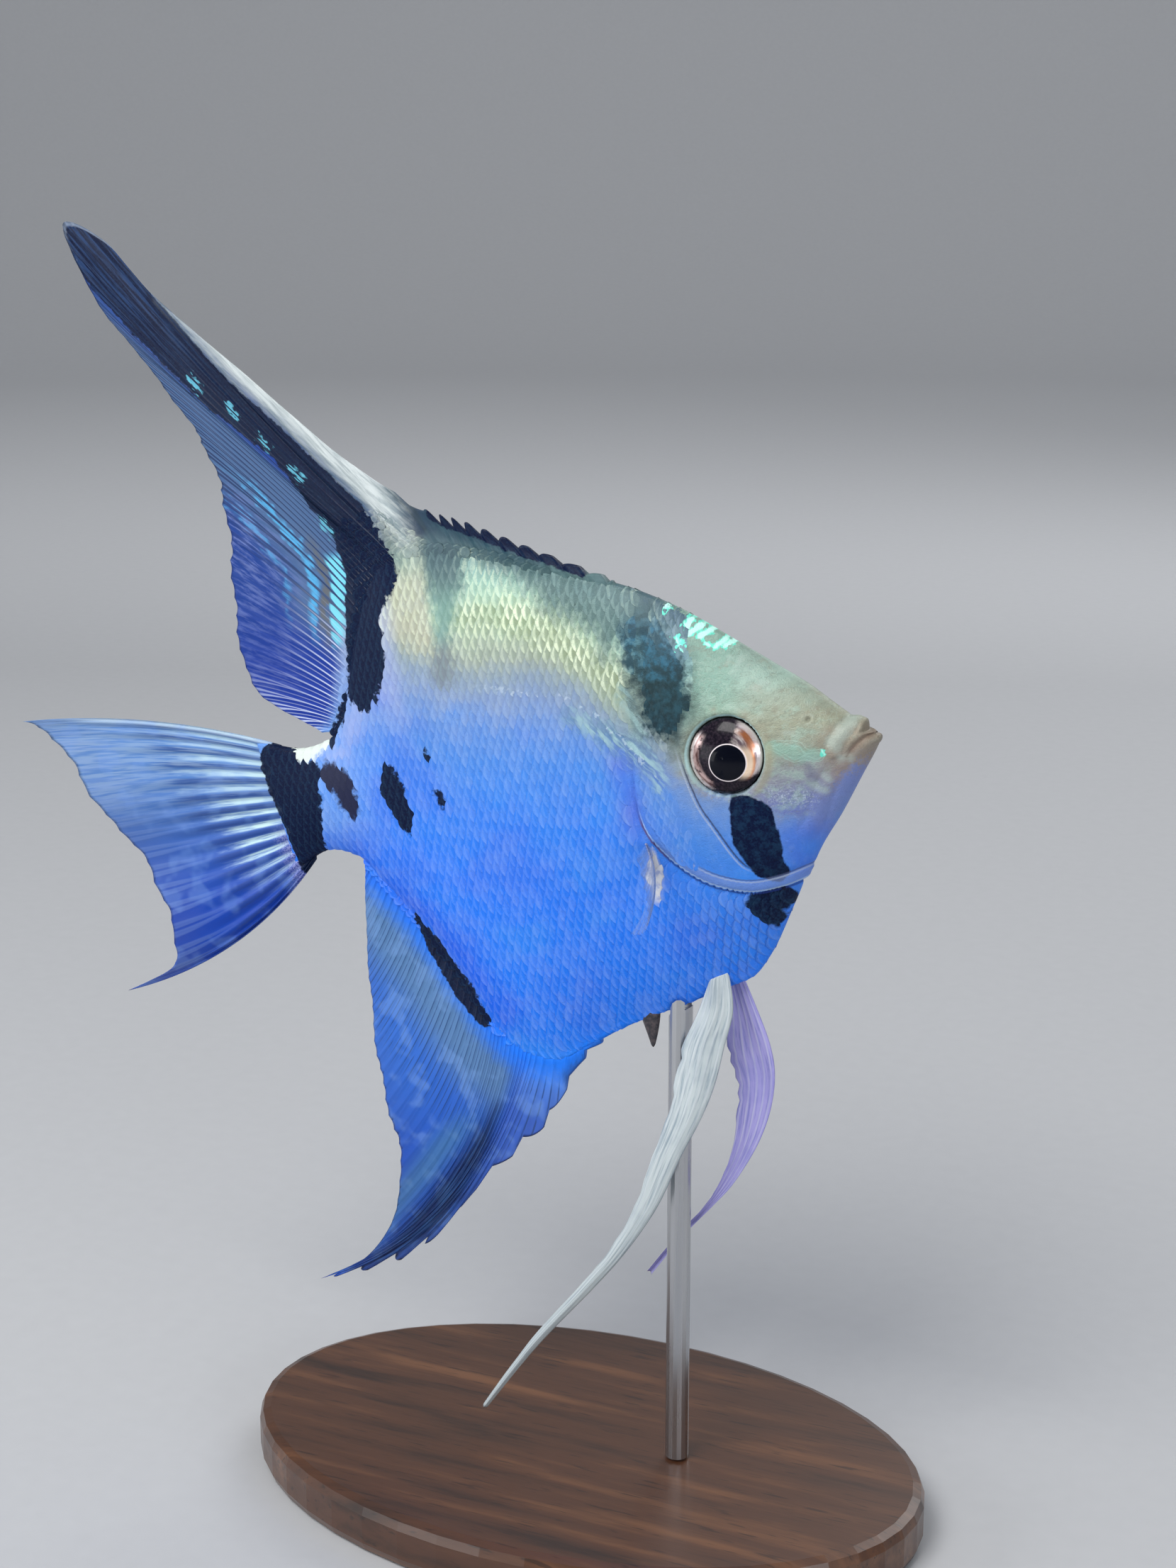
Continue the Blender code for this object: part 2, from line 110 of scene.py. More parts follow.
LOWER_JAW_LINE = ((6.2, -4.6), (8.6, -8.2), (10.6, -11.6), (13.6, -14.6))
UPPER_LIP_BACK = 1.15  # how far the upper lip lies behind the lower one
UPPER_LIP_RISE = 0.42  # how far it stands up over the line of the forehead
NOSTRIL = (8.4, 3.2)
LATERAL_LINE = (
    (31.5, -1.5), (34.5, 2.5), (37.5, 6.0), (41.0, 9.3), (45.5, 12.0), (51.0, 13.4), (58.0, 14.8),
    (66.0, 15.5),
)

# The eyes
EYE_PLACE = (20.8, -0.05)
EYE_RADIUS = 5.5
EYE_RIM_SIDE = 5.75
EYE_BULGE = 2.05
SOCKET_FLOOR = 4.4
PUPIL_PLACE = (-0.62, -0.78)  # back and up from the eye's centre
PUPIL_RADIUS = 2.6
EYE_RINGS, EYE_SEGMENTS = 40, 96


def smooth(points, x):
    """The values at x of a smooth curve through (x, value) points, with no overshoot."""
    px, py = np.array(points, float).T
    slopes = np.diff(py) / np.diff(px)
    before, after = slopes[:-1], slopes[1:]
    same = before * after > 0
    inner = np.where(same, 2 * before * after / np.where(same, before + after, 1), 0)
    tangents = np.concatenate(([slopes[0]], inner, [slopes[-1]]))
    i = np.clip(np.searchsorted(px, x, side="right") - 1, 0, len(px) - 2)
    span = px[i + 1] - px[i]
    t = np.clip((x - px[i]) / span, 0, 1)
    bend = t * (1 - t) * ((1 - t) * tangents[i] - t * tangents[i + 1])
    return py[i] + (py[i + 1] - py[i]) * t * t * (3 - 2 * t) + span * bend


def through(points, where):
    """Points on a round curve through the given ones, at `where` from 0 to 1 along the list."""
    points = np.array(points, float)
    x = np.asarray(where, float) * (len(points) - 1)
    i = np.clip(x.astype(int), 0, len(points) - 2)
    t = (x - i)[..., None]
    a, b, c, d = (points[np.clip(i + k, 0, len(points) - 1)] for k in (-1, 0, 1, 2))
    return b + 0.5 * t * (c - a + t * (2 * a - 5 * b + 4 * c - d + t * (3 * (b - c) + d - a)))


def step(low, high, x):
    """Rises smoothly from 0 at low to 1 at high, or falls where high is the smaller."""
    t = np.clip((x - low) / (high - low), 0, 1)
    return t * t * (3 - 2 * t)


def bell(x, width):
    return np.exp(-((x / width) ** 2))


def near_line(back, up, line, count=64):
    """How far each place is from a line on the flank, on which side of it, and how far along."""
    path = through(line, np.linspace(0, 1, count))
    start, run = path[:-1], np.diff(path, axis=0)
    places = np.stack((np.ravel(back), np.ravel(up)), -1)
    nearest = np.full(len(places), np.inf)
    side = np.zeros(len(places))
    along = np.zeros(len(places))
    for k in range(count - 1):
        away = places - start[k]
        t = np.clip(away @ run[k] / (run[k] @ run[k]), 0, 1)
        gap = away - t[:, None] * run[k]
        distance = np.hypot(*gap.T)
        closer = distance < nearest
        nearest[closer] = distance[closer]
        turned = run[k][0] * away[:, 1] - run[k][1] * away[:, 0]
        side[closer] = np.sign(turned)[closer]
        along[closer] = (k + t[closer]) / (count - 1)
    shape = np.shape(back)
    return nearest.reshape(shape), side.reshape(shape), along.reshape(shape)


def world(places):
    """Points in metres for an array of places (back, up, side)."""
    x = (PIVOT - places[..., 0]) * ONE
    z = places[..., 1] * ONE
    turned_x = x * math.cos(NOSE_UP) - z * math.sin(NOSE_UP)
    turned_z = AXIS_HEIGHT + x * math.sin(NOSE_UP) + z * math.cos(NOSE_UP)
    return np.stack((turned_x, places[..., 2] * ONE, turned_z), -1)


def body_lines(station):
    """Top, bottom, widest level, half width and ridge sharpness of the skin at each station."""
    return (
        smooth(UPPER_LINE, station) - COAT,
        smooth(LOWER_LINE, station) + COAT,
        smooth(WIDEST_LEVEL, station),
        smooth(HALF_WIDTH, station) - COAT,
        smooth(RIDGE_SHARPNESS, station),
    )


def half_width(station, up):
    """Half the body's width at a level, with the ridges rounded off."""
    top, bottom, level, half, sharp = body_lines(station)
    reach = np.where(up > level, top - level, level - bottom)
    height = np.clip(np.abs(up - level) / reach, 0, 1)
    body = half * (1 - height**2) ** (sharp / 2)
    radius = np.minimum(RIDGE_RADIUS, 0.55 * half)
    inward = np.clip((1 - height) * reach / radius, 0, 1)
    cap = radius * np.sqrt(1 - (1 - inward) ** 2)
    return (body**4 + cap**4) ** 0.25


def slanted(station, up):
    """The root of the tail fin leans back at its upper end."""
    return station + END_SLANT * np.clip((station - SLANT_FROM) / (BODY_END - SLANT_FROM), 0, 1) * up


def eye_side(back, up, bulge):
    """The side at which the eye's plane lies, leaning with the head's own surface."""
    eye_back, eye_up = EYE_PLACE
    lean_back = (half_width(eye_back + 6.0, eye_up) - half_width(eye_back - 6.0, eye_up)) / 12.0
    lean_up = (half_width(eye_back, eye_up + 6.0) - half_width(eye_back, eye_up - 6.0)) / 12.0
    return bulge + lean_back * (back - eye_back) + lean_up * (up - eye_up)


def from_eye(back, up):
    return np.hypot(back - EYE_PLACE[0], up - EYE_PLACE[1])


def relief(back, up):
    """How far the skin stands out from the smooth body at a place on the flank."""
    high = np.zeros(np.shape(back))
    head = np.asarray(back) < 42.0
    b, u = back[head], up[head]

    gap, side, along = near_line(b, u, GILL_EDGE)
    held = step(0.06, 0.28, along) * step(1.0, 0.9, along)
    on_head = side < 0
    cover = 0.34 * np.exp(-gap / 4.0) * np.where(on_head, step(-0.05, 0.16, gap), 0)
    slit = -0.34 * bell(gap, 0.34) - np.where(on_head, 0, 0.16 * np.exp(-gap / 1.6))
    rim = np.where(on_head, 0.10 * bell(gap - 1.5, 0.22) - 0.10 * bell(gap - 2.0, 0.22), 0)
    out = held * (cover + slit + rim)

    gap, side, along = near_line(b, u, CHEEK_EDGE)
    held = step(0.0, 0.2, along) * step(1.0, 0.85, along)
    ledge = np.where(side < 0, 0.17 * np.exp(-gap / 1.4), 0) - 0.16 * bell(gap - 0.1, 0.3)
    out += held * ledge

    gap, side, along = near_line(b, u, MOUTH_LINE)
    held = step(1.0, 0.8, along)
    lips = (0.2 - 0.25 * step(0.9, 0.2, b) * step(-0.6, 0.1, u)) * bell(gap - 0.9, 0.6) * step(4.0, 1.0, b)
    out += held * (lips - (0.2 + 0.24 * step(1.6, 0.0, b)) * bell(gap, 0.36))

    gap, side, along = near_line(b, u, UPPER_JAW_LINE)
    held = step(0.0, 0.2, along) * step(1.02, 0.9, along)
    out += held * (0.24 * bell(gap, 0.75) - 0.10 * bell(gap - 1.2, 0.3))

    gap, side, along = near_line(b, u, LOWER_JAW_LINE)
    held = step(0.0, 0.2, along) * step(1.0, 0.7, along)
    out += held * (0.14 * bell(gap, 0.8) - 0.1 * bell(gap - 1.3, 0.35))

    gap = np.hypot((b - NOSTRIL[0]) * 0.8, u - NOSTRIL[1])
    out += 0.07 * bell(gap - 0.65, 0.25) - 0.22 * bell(gap, 0.3)

    gap = from_eye(b, u)
    out += 0.2 * bell(gap - (EYE_RADIUS + 0.8), 0.45)
    high[head] = out
    return high


def socketed(back, up, side):
    """The flank's side, pushed in to the eye's socket."""
    gap = from_eye(back, up)
    floor = eye_side(back, up, SOCKET_FLOOR)
    wall = step(EYE_RADIUS + 0.3, EYE_RADIUS - 0.3, gap)
    return side + (np.sign(side) * floor - side) * wall


def finish_places(places, normals):
    """Places moved out along their normals by the skin's relief, and in at the eyes' sockets."""
    back, up, _ = np.moveaxis(places, -1, 0)
    moved = places + normals * relief(back, up)[..., None]
    moved[..., 0] += UPPER_LIP_BACK * step(2.4, 0.0, back) * step(-0.25, 0.08, up) * step(2.4, -0.3, up)
    moved[..., 1] += UPPER_LIP_RISE * bell(back - 1.1, 1.3) * step(0.0, 1.0, up)
    at_eye = from_eye(back, up) < EYE_RADIUS + 1.0
    moved[..., 2] = np.where(at_eye, socketed(back, up, moved[..., 2]), moved[..., 2])
    return moved


def grid_normals(places, closed):
    """Outward unit normals of a grid whose rows run along the body and columns round it."""
    along = np.gradient(places, axis=0)
    if closed:
        across = np.roll(places, -1, axis=1) - np.roll(places, 1, axis=1)
    else:
        across = np.gradient(places, axis=1)
    normals = np.cross(across, along)
    return normals / np.maximum(np.linalg.norm(normals, axis=-1, keepdims=True), 1e-9)


def flank_point(station, up, sign):
    """Finished places and outward normals on one flank, from arrays of stations and levels."""
    tiny = 0.04

    def smooth_place(s, u):
        return np.stack((slanted(s, u), u, sign * half_width(s, u)), -1)

    along = smooth_place(station + tiny, up) - smooth_place(station - tiny, up)
    upward = smooth_place(station, up + tiny) - smooth_place(station, up - tiny)
    normals = sign * np.cross(along, upward)
    normals /= np.maximum(np.linalg.norm(normals, axis=-1, keepdims=True), 1e-9)
    return finish_places(smooth_place(station, up), normals), normals


# ---------------------------------------------------------------- meshes


def grid_faces(index):
    corners = (index[:-1, :-1], index[1:, :-1], index[1:, 1:], index[:-1, 1:])
    return np.stack(corners, -1).reshape(-1, 4)


def two_sided(rows, columns):
    """Vertex numbers for the front and the back of a thin closed sheet, which share their border."""
    front = np.arange(rows * columns).reshape(rows, columns)
    back = front.copy()
    inner = (rows - 2) * (columns - 2)
    back[1:-1, 1:-1] = rows * columns + np.arange(inner).reshape(rows - 2, columns - 2)
    return front, back


def add_piece(name, places, faces, finish, replaces=(), uv=None, fields=None, sharp=None):
    """One mesh object that rides on the frame. `uv` is per face corner, `fields` per vertex."""
    mesh = bpy.data.meshes.new(name)
    mesh.from_pydata(world(places).tolist(), [], faces if isinstance(faces, list) else faces.tolist())
    mesh.materials.append(finish)
    add_fields(mesh, {"place": places, **(fields or {})})
    if uv is not None:
        layer = mesh.uv_layers.new(name="OFBake")
        layer.data.foreach_set("uv", np.ravel(uv).astype(np.float32))
    mesh.shade_smooth()
    if sharp:
        mesh.set_sharp_from_angle(angle=math.radians(sharp))
    piece = bpy.data.objects.new(name, mesh)
    bpy.context.scene.collection.objects.link(piece)
    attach(piece, "root")
    if replaces:
        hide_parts(*replaces)
    return piece


def add_fields(mesh, fields):
    """Named values or vectors at every vertex, which the materials read."""
    for name, values in fields.items():
        values = np.asarray(values, np.float32)
        kind = "FLOAT_VECTOR" if values.ndim == 2 else "FLOAT"
        stored = mesh.attributes.new(name, kind, "POINT")
        stored.data.foreach_set("vector" if values.ndim == 2 else "value", values.ravel())


# ---------------------------------------------------------------- markings

# Each mark is drawn on the fish's side with chains of round spots, (back, up, radius), joined by
# strokes. A mark's field is the distance to its nearest stroke's edge, below 0 inside, and the
# materials cut it off at a ragged threshold. Skin, scales and fins share them.
MARKS = {
    "black": (
        (
            (80.4, 16.8, 3.2), (78.8, 21.0, 4.0), (78.0, 28.0, 3.5), (75.2, 34.0, 4.5), (77.4, 42.0, 3.6),
            (82.7, 50.0, 2.9), (85.9, 55.0, 2.4), (95.1, 65.0, 2.9), (105.4, 80.0, 3.6),
            (111.8, 90.0, 3.4), (115.5, 94.5, 2.0),
        ),
        ((84.3, 15.6, 0.9), (86.4, 12.2, 0.7)), ((86.4, 12.2, 0.6), (88.8, 9.3, 0.9)),
        ((99.4, 6.6, 3.8), (97.2, 1.5, 5.2), (97.2, -4.5, 3.6), (97.2, -9.5, 2.9)),
        ((94.5, 5.0, 1.6), (92.5, 4.8, 1.4)), ((78.2, 4.1, 1.2), (77.9, 0.8, 2.2), (77.1, -3.0, 1.9)),
        ((77.1, -3.0, 1.8), (76.6, -6.0, 0.4)), ((69.5, -0.1, 0.6), (69.2, -1.8, 0.8)),
        ((70.9, 6.6, 0.12), (70.2, 5.5, 0.4)), ((80.4, -20.6, 0.7), (78.4, -25.2, 1.6)),
        ((78.4, -25.2, 1.7), (75.2, -32.5, 2.2), (72.9, -37.4, 1.4)),
        ((40.0, 28.9, 0.8), (50.0, 34.2, 1.2), (62.0, 41.0, 1.5)),
    ),
    "navy": (
        ((20.8, -6.2, 0.5), (19.6, -8.4, 1.8)), ((19.4, -8.2, 2.3), (19.2, -12.5, 3.1)),
        ((17.7, -9.0, 2.0), (18.0, -14.0, 2.4)),
        ((19.4, -12.5, 2.9), (18.5, -16.6, 2.4), (17.6, -18.0, 1.7)),
        ((21.4, -22.8, 1.8), (18.2, -22.4, 1.7)), ((21.0, -23.8, 1.8), (20.2, -25.0, 1.6)),
    ),
    "nape": (
        ((30.6, 18.0, 2.8), (29.4, 12.5, 4.4), (28.6, 7.6, 4.0)), ((28.6, 7.6, 3.6), (27.4, 3.2, 1.4)),
        ((33.0, 19.0, 2.0), (31.6, 13.0, 2.8)),
    ),
    "gleam": (
        (
            (60.5, 25.6, 1.6), (51.0, 24.2, 2.4), (42.5, 18.0, 2.4), (36.8, 12.2, 2.2), (33.8, 5.8, 1.2),
        ),
    ),
    "shade": (
        ((30.0, 19.6, 1.2), (35.0, 21.8, 3.6), (44.0, 27.4, 3.8)),
        ((44.0, 27.6, 3.4), (52.0, 32.8, 2.2), (62.0, 39.6, 1.2)), ((36.0, 21.0, 3.0), (37.2, 16.8, 0.8)),
    ),
    "grey": (
        ((62.4, 35.0, 3.6), (62.4, 30.5, 3.0)), ((62.4, 30.5, 2.8), (63.4, 24.0, 1.2), (64.4, 17.5, 1.9)),
    ),
    "cover": (
        ((44.0, 8.8, 0.6), (38.0, 5.6, 1.6), (33.0, 2.0, 2.4), (31.4, -2.4, 1.2)),
        ((34.4, 11.0, 0.8), (33.0, 5.0, 1.4)),
    ),
    "deep": (((88.0, -9.5, 1.2), (77.0, -21.0, 2.6), (68.0, -36.0, 3.6)),),
    "plum": (((89.6, 4.3, 1.8), (87.6, 2.6, 2.2), (86.6, -1.2, 1.6)),),
    "rose": (((81.6, 13.6, 1.4), (84.6, 10.2, 1.8)), ((89.4, 7.0, 0.6), (86.0, 7.4, 1.2))),
    "flash": (
        ((81.0, 40.8, 0.5), (82.3, 43.4, 0.4)), ((84.0, 49.6, 0.5), (85.3, 51.8, 0.4)),
        ((88.4, 55.2, 0.4), (89.6, 57.2, 0.3)), ((92.9, 61.0, 0.5), (94.0, 63.2, 0.5)),
        ((98.2, 66.0, 0.5), (99.2, 68.2, 0.5)),
    ),
    "white": (((97.2, 8.3, 1.0), (93.4, 8.4, 1.5), (89.8, 9.0, 1.1)),),
    "blaze": (
        ((68.4, 38.0, 0.8), (70.0, 42.4, 2.2), (72.0, 46.2, 2.6), (76.0, 50.4, 2.0)),
        (
            (76.0, 50.2, 2.0), (80.5, 55.2, 1.6), (92.8, 70.2, 1.6), (97.1, 75.2, 1.1),
            (102.0, 80.8, 0.4),
        ),
    ),
    "mint": (
        ((27.9, 21.6, 0.4), (27.2, 21.3, 0.3)), ((25.2, 19.0, 0.5), (24.2, 19.5, 0.45)),
        ((24.6, 17.6, 0.5), (22.9, 18.4, 0.6)), ((23.0, 17.0, 0.55), (21.4, 17.6, 0.55)),
        ((26.5, 17.5, 0.4), (26.0, 16.4, 0.5)), ((25.9, 16.0, 0.3), (25.4, 15.6, 0.35)),
        ((20.8, 15.3, 0.5), (19.6, 16.0, 0.5)), ((19.7, 14.9, 0.45), (18.3, 15.6, 0.5)),
        ((22.2, 15.9, 0.3), (21.7, 15.5, 0.3)), ((7.0, -1.2, 0.2), (6.8, -2.0, 0.26)),
    ),
    # A painted shadow behind the corner of the mouth.
    "mouth_corner_shadow": (((9.2, -3.2, 0.4), (9.0, -5.6, 0.9)),),
    "leaf": (((14.0, 0.4, 0.8), (10.4, -1.2, 1.0)), ((10.6, -1.4, 1.0), (7.6, -1.9, 0.5))),
    # Painted highlights along the ridge of the upper jaw, and pale patches and wisps on the jaw and head.
    "jaw": (
        ((2.9, 1.9, 0.9), (5.2, -0.6, 1.1)), ((4.6, -2.9, 0.4), (3.6, -3.1, 0.35)),
        ((9.0, -6.2, 0.7), (7.8, -7.2, 0.45)), ((7.4, -5.0, 0.35), (7.0, -5.6, 0.35)),
        ((18.4, 11.6, 0.1), (17.4, 12.9, 0.16)), ((19.4, 12.6, 0.08), (18.9, 13.2, 0.12)),
        ((15.4, 8.8, 0.1), (13.6, 9.2, 0.1)), ((11.6, 2.0, 0.06), (10.6, 1.8, 0.1)),
    ),
    "speckle": (((15.0, -6.6, 1.3), (10.5, -7.8, 1.4)),),
    "teal": (
        (
            (74.0, -52.0, 0.3), (78.6, -58.0, 1.7), (86.0, -65.6, 2.6), (93.5, -71.6, 2.6),
            (100.5, -76.0, 1.6), (109.0, -79.2, 0.6),
        ),
        ((54.0, -43.0, 0.6), (60.0, -48.4, 1.0)),
    ),
    "lobe": (((34.9, -12.9, 0.7), (35.5, -16.3, 1.6), (35.8, -19.5, 0.6)),),
}
SILVER_LEVEL = (  # where the silver of the back ends and the blue begins: back, up
    (-1.0, -2.6), (1.5, -3.8), (3.5, -5.0), (5.5, -6.6), (8.0, -8.6), (10.5, -9.8), (13.0, -9.6),
    (16.0, -8.4), (20.0, -6.0), (26.0, -4.5), (30.0, -1.5), (33.0, 1.5), (36.0, 4.5), (40.0, 8.0),
    (45.0, 11.0), (55.0, 12.5), (66.0, 14.5), (72.0, 17.0), (80.0, 21.0), (100.0, 24.0),
)


def marks(back, up):
    """Each mark's distance field over an array of places, and how high they lie over the blue."""
    fields = {"over": up - smooth(SILVER_LEVEL, back)}
    for name, chains in MARKS.items():
        nearest = np.full(np.shape(back), 99.0)
        strokes = (pair for chain in chains for pair in zip(chain, chain[1:]))
        for (b0, u0, start), (b1, u1, end) in strokes:
            run_b, run_u = b1 - b0, u1 - u0
            t = np.clip(((back - b0) * run_b + (up - u0) * run_u) / (run_b**2 + run_u**2), 0, 1)
            distance = np.hypot(back - b0 - t * run_b, up - u0 - t * run_u)
            nearest = np.minimum(nearest, distance - start - (end - start) * t)
        fields["mark_" + name] = nearest
    return fields


# ---------------------------------------------------------------- skin


def ring_places():
    """The skin's grid: stations from snout to tail, each a ring from the keel up the right flank
    and down the left."""
    t = np.linspace(0, 1, STATIONS)
    station = BODY_START + (BODY_END - BODY_START) * t**STATION_POWER
    turn = np.linspace(-math.pi / 2, math.pi / 2, HALF_RING)
    top, bottom, level, _, _ = (line[:, None] for line in body_lines(station))
    rise = np.sin(turn)[None]
    up = level + np.where(rise > 0, top - level, level - bottom) * rise
    grid = np.broadcast_to(station[:, None], up.shape)
    right = np.stack((slanted(grid, up), up, -half_width(grid, up)), -1)
    left = (right * (1, 1, -1))[:, -2:0:-1]
    rings = np.concatenate((right, left), 1)

    angle = np.linspace(0.06, 1, NOSE_RINGS, endpoint=False)[:, None, None] * math.pi / 2
    centre = np.array((BODY_START, (top[0, 0] + bottom[0, 0]) / 2, 0.0))
    nose = centre + (rings[0] - centre) * np.sin(angle)
    nose[..., 0] = BODY_START - NOSE_BULGE * np.cos(angle[..., 0])

    out = np.linspace(0, 1, TAIL_RINGS + 1)[1:, None]
    tail = np.repeat(rings[-1:], TAIL_RINGS, 0)
    tail[..., 0] += TAIL_REACH * out
    tail[..., 1] *= 1 + 0.03 * out
    tail[..., 2] *= 1 - 0.86 * out**0.8
    return np.concatenate((nose, rings, tail))


def skin_coordinates(station, up, sign):
    """Where a place of the flank lies on the skin's unwrap, from 0 to 1 each way."""
    top, bottom, level, _, _ = body_lines(station)
    reach = np.where(up > level, top - level, level - bottom)
    turn = np.arcsin(np.clip((up - level) / reach, -1, 1)) / math.pi
    row = np.clip((station - BODY_START) / (BODY_END - BODY_START), 0, 1) ** (1 / STATION_POWER)
    rows = NOSE_RINGS + STATIONS + TAIL_RINGS - 1
    u = (NOSE_RINGS + row * (STATIONS - 1)) / rows
    v = np.where(sign < 0, turn + 0.5, 1.5 - turn) / 2
    return u, v


def add_skin(finish):
    places = ring_places()
    rows, columns = places.shape[:2]
    normals = grid_normals(places, closed=True)
    places = finish_places(places, normals)
    index = np.arange(rows * columns).reshape(rows, columns)
    wrapped = np.concatenate((index, index[:, :1]), 1)
    faces = grid_faces(wrapped)[:, ::-1]
    grid_u = np.broadcast_to(np.arange(rows)[:, None] / (rows - 1), (rows, columns + 1))
    grid_v = np.broadcast_to(np.arange(columns + 1)[None] / columns, (rows, columns + 1))
    corners = grid_faces(np.arange(rows * (columns + 1)).reshape(rows, columns + 1))[:, ::-1]
    uv = np.stack((grid_u.ravel()[corners], grid_v.ravel()[corners]), -1).reshape(-1, 2)
    ends = [index[0][::-1].tolist(), index[-1].tolist()]
    end_uv = [np.stack((grid_u[k, :-1], grid_v[k, :-1]), -1)[::s] for k, s in ((0, -1), (-1, 1))]
    uv = np.concatenate((uv, *end_uv))
    flat = places.reshape(-1, 3)
    fields = marks(flat[:, 0], flat[:, 1])
    fields.update(head_fields(flat[:, 0], flat[:, 1]))
    add_piece(
        "fish_skin", flat, faces.tolist() + ends, finish,
        ("head", "lower_jaw", "trunk", "tail_stem"), uv, fields,
    )


def head_fields(back, up):
    """Distances that the skin's material draws lines with."""
    gill, side, _ = near_line(back, up, GILL_EDGE)
    mouth, _, _ = near_line(back, up, MOUTH_LINE)
    cheek, cheek_side, _ = near_line(back, up, CHEEK_EDGE)
    lateral, _, _ = near_line(back, up, LATERAL_LINE)
    return {
        "gill": gill * side, "mouth": mouth, "cheek_edge": cheek * cheek_side, "lateral": lateral,
        "nostril": np.hypot(back - NOSTRIL[0], up - NOSTRIL[1]), "eye_gap": from_eye(back, up),
    }


# ---------------------------------------------------------------- scales

SCALE_STEP = 1.38  # between neighbours in one row
ROW_STEP = 3.3  # between rows in line
SCALE_LENGTH = 2.6
SCALE_HEIGHT = 3.6
SCALE_GRID = (6, 8)
SCALE_LIFT = 0.2
PATCH = 0.003  # the size of a scale's own patch of the unwrap
MARK_SPREAD = 0.4  # how much of the markings' change across a scale it shows
SEEN_BEHIND = 0.32  # the uncovered part lies this share of its length behind a scale's centre
FOREHEAD_EDGE = (
    (22.0, 24.0), (24.5, 17.0), (23.8, 11.0), (26.2, 6.4), (29.2, 2.6), (30.2, -2.0), (29.4, -6.0),
)


def scale_rows(pitch, start, end):
    """Stations and levels of staggered scale centres on one flank, with rows at even steps up
    and down the skin from its widest level."""
    stations, levels = [], []
    columns = int((end - start) / (pitch * SCALE_STEP / 2))
    for column in range(columns):
        station = start + column * pitch * SCALE_STEP / 2
        top, bottom, level, _, _ = (float(line) for line in body_lines(np.array(station)))
        for low, high, sign in ((level, top, 1), (level, bottom, -1)):
            up = np.linspace(low, high - sign * 0.25, 240)
            side = half_width(np.full(240, station), up)
            run = np.concatenate(([0], np.cumsum(np.hypot(np.diff(up), np.diff(side)))))
            first = (0.25 if column % 2 else 0.75) if sign > 0 else (0.75 if column % 2 else 0.25)
            at = np.arange(first * ROW_STEP * pitch, run[-1], ROW_STEP * pitch)
            levels.extend(np.interp(at, run, up))
            stations.extend([station] * len(at))
    return np.array(stations), np.array(levels)


def scale_shape():
    """One scale, unit sized: s runs back along it, t across it, with its outline and doming."""
    rows, columns = SCALE_GRID
    s = np.linspace(0, 1, rows)[:, None]
    t = np.linspace(-1, 1, columns)[None]
    front = 0.16 * t**2
    rear = 1 - 0.30 * np.abs(t) ** 2.2
    along = front + (rear - front) * s
    across = t * (0.80 + 0.2 * np.sin(math.pi * np.clip(s * 1.05, 0, 1)))
    dome = 0.20 * (1 - t**2) * (0.4 + 0.6 * s)
    return along, across + 0 * s, dome, s + 0 * t, t + 0 * s


def add_scales(name, station, up, sign, size, lift, finish, seed):
    """Joined scale plates at the given centres of one flank."""
    draws = np.random.default_rng(seed)
    count = len(station)
    along, across, dome, s, _ = (field.ravel() for field in scale_shape())
    turn = draws.normal(0, 0.05, count)[:, None]
    grow = (size * draws.uniform(0.94, 1.06, count))[:, None]
    length, height = SCALE_LENGTH * grow, SCALE_HEIGHT * grow
    forward = (along - 0.5)[None] * length
    upward = across[None] * height / 2
    at_station = station[:, None] + forward * np.cos(turn) - upward * np.sin(turn)
    at_up = up[:, None] + forward * np.sin(turn) + upward * np.cos(turn)
    top, bottom, _, _, _ = body_lines(at_station)
    at_up = np.clip(at_up, bottom + 0.05, top - 0.05)
    place, normal = flank_point(at_station, at_up, sign)
    tilt = (s - 0.42)[None] + draws.normal(0, 0.05, count)[:, None]
    raised = lift[:, None] * (tilt + dome[None])
    patch = skin_coordinates(station - 0.3 * SCALE_LENGTH * size, up, sign)
    seen = np.stack((slanted(station + SEEN_BEHIND * SCALE_LENGTH * size, up), up), -1)
    drawn = drawn_at(seen, place)
    points = place + normal * raised[..., None]
    add_plates(name, points, sign < 0, patch, drawn, head_fields(*drawn.T), draws, finish)


def drawn_at(seen, places):
    """Where on the fish each point of some plates takes its markings: near its plate's seen place."""
    seen = seen[:, None]
    return (seen + MARK_SPREAD * (places[..., :2] - seen)).reshape(-1, 2)


def add_plates(name, points, flipped, patch, drawn, more_fields, draws, finish):
    """Joined scale plates, (plate, point of scale_shape, 3). `patch` is where each lies on the unwrap."""
    count = len(points)
    _, _, _, s, t = (field.ravel() for field in scale_shape())
    rows, columns = SCALE_GRID
    index = np.arange(rows * columns).reshape(rows, columns)
    quads = grid_faces(index)
    border = np.concatenate((index[0], index[1:, -1], index[-1, -2::-1], index[-2:0:-1, 0]))
    if flipped:
        quads, border = quads[:, ::-1], border[::-1]
    shift = (np.arange(count) * rows * columns)[:, None, None]
    quads, borders = quads[None] + shift, border[None] + shift[:, 0]
    u, v = patch
    uv = np.stack((u[:, None] + PATCH * (s - 0.5), v[:, None] + PATCH * t / 2), -1).reshape(-1, 2)
    uv = uv[np.concatenate((quads.ravel(), borders.ravel()))]
    fields = marks(*drawn.T)
    fields.update(more_fields)
    chance = draws.uniform(0, 1, count)[:, None]
    of_each = [np.broadcast_to(value, points.shape[:2]) for value in (s, t, chance)]
    fields["scale"] = np.stack(of_each, -1).reshape(-1, 3)
    faces = quads.reshape(-1, 4).tolist() + borders.tolist()
    add_piece(name, points.reshape(-1, 3), faces, finish, (), uv, fields, sharp=50)


def clear_of(line, station, up, margin):
    """True where a place lies behind a line of the head by more than the margin."""
    gap, side, _ = near_line(station, up, line)
    return gap * side > margin


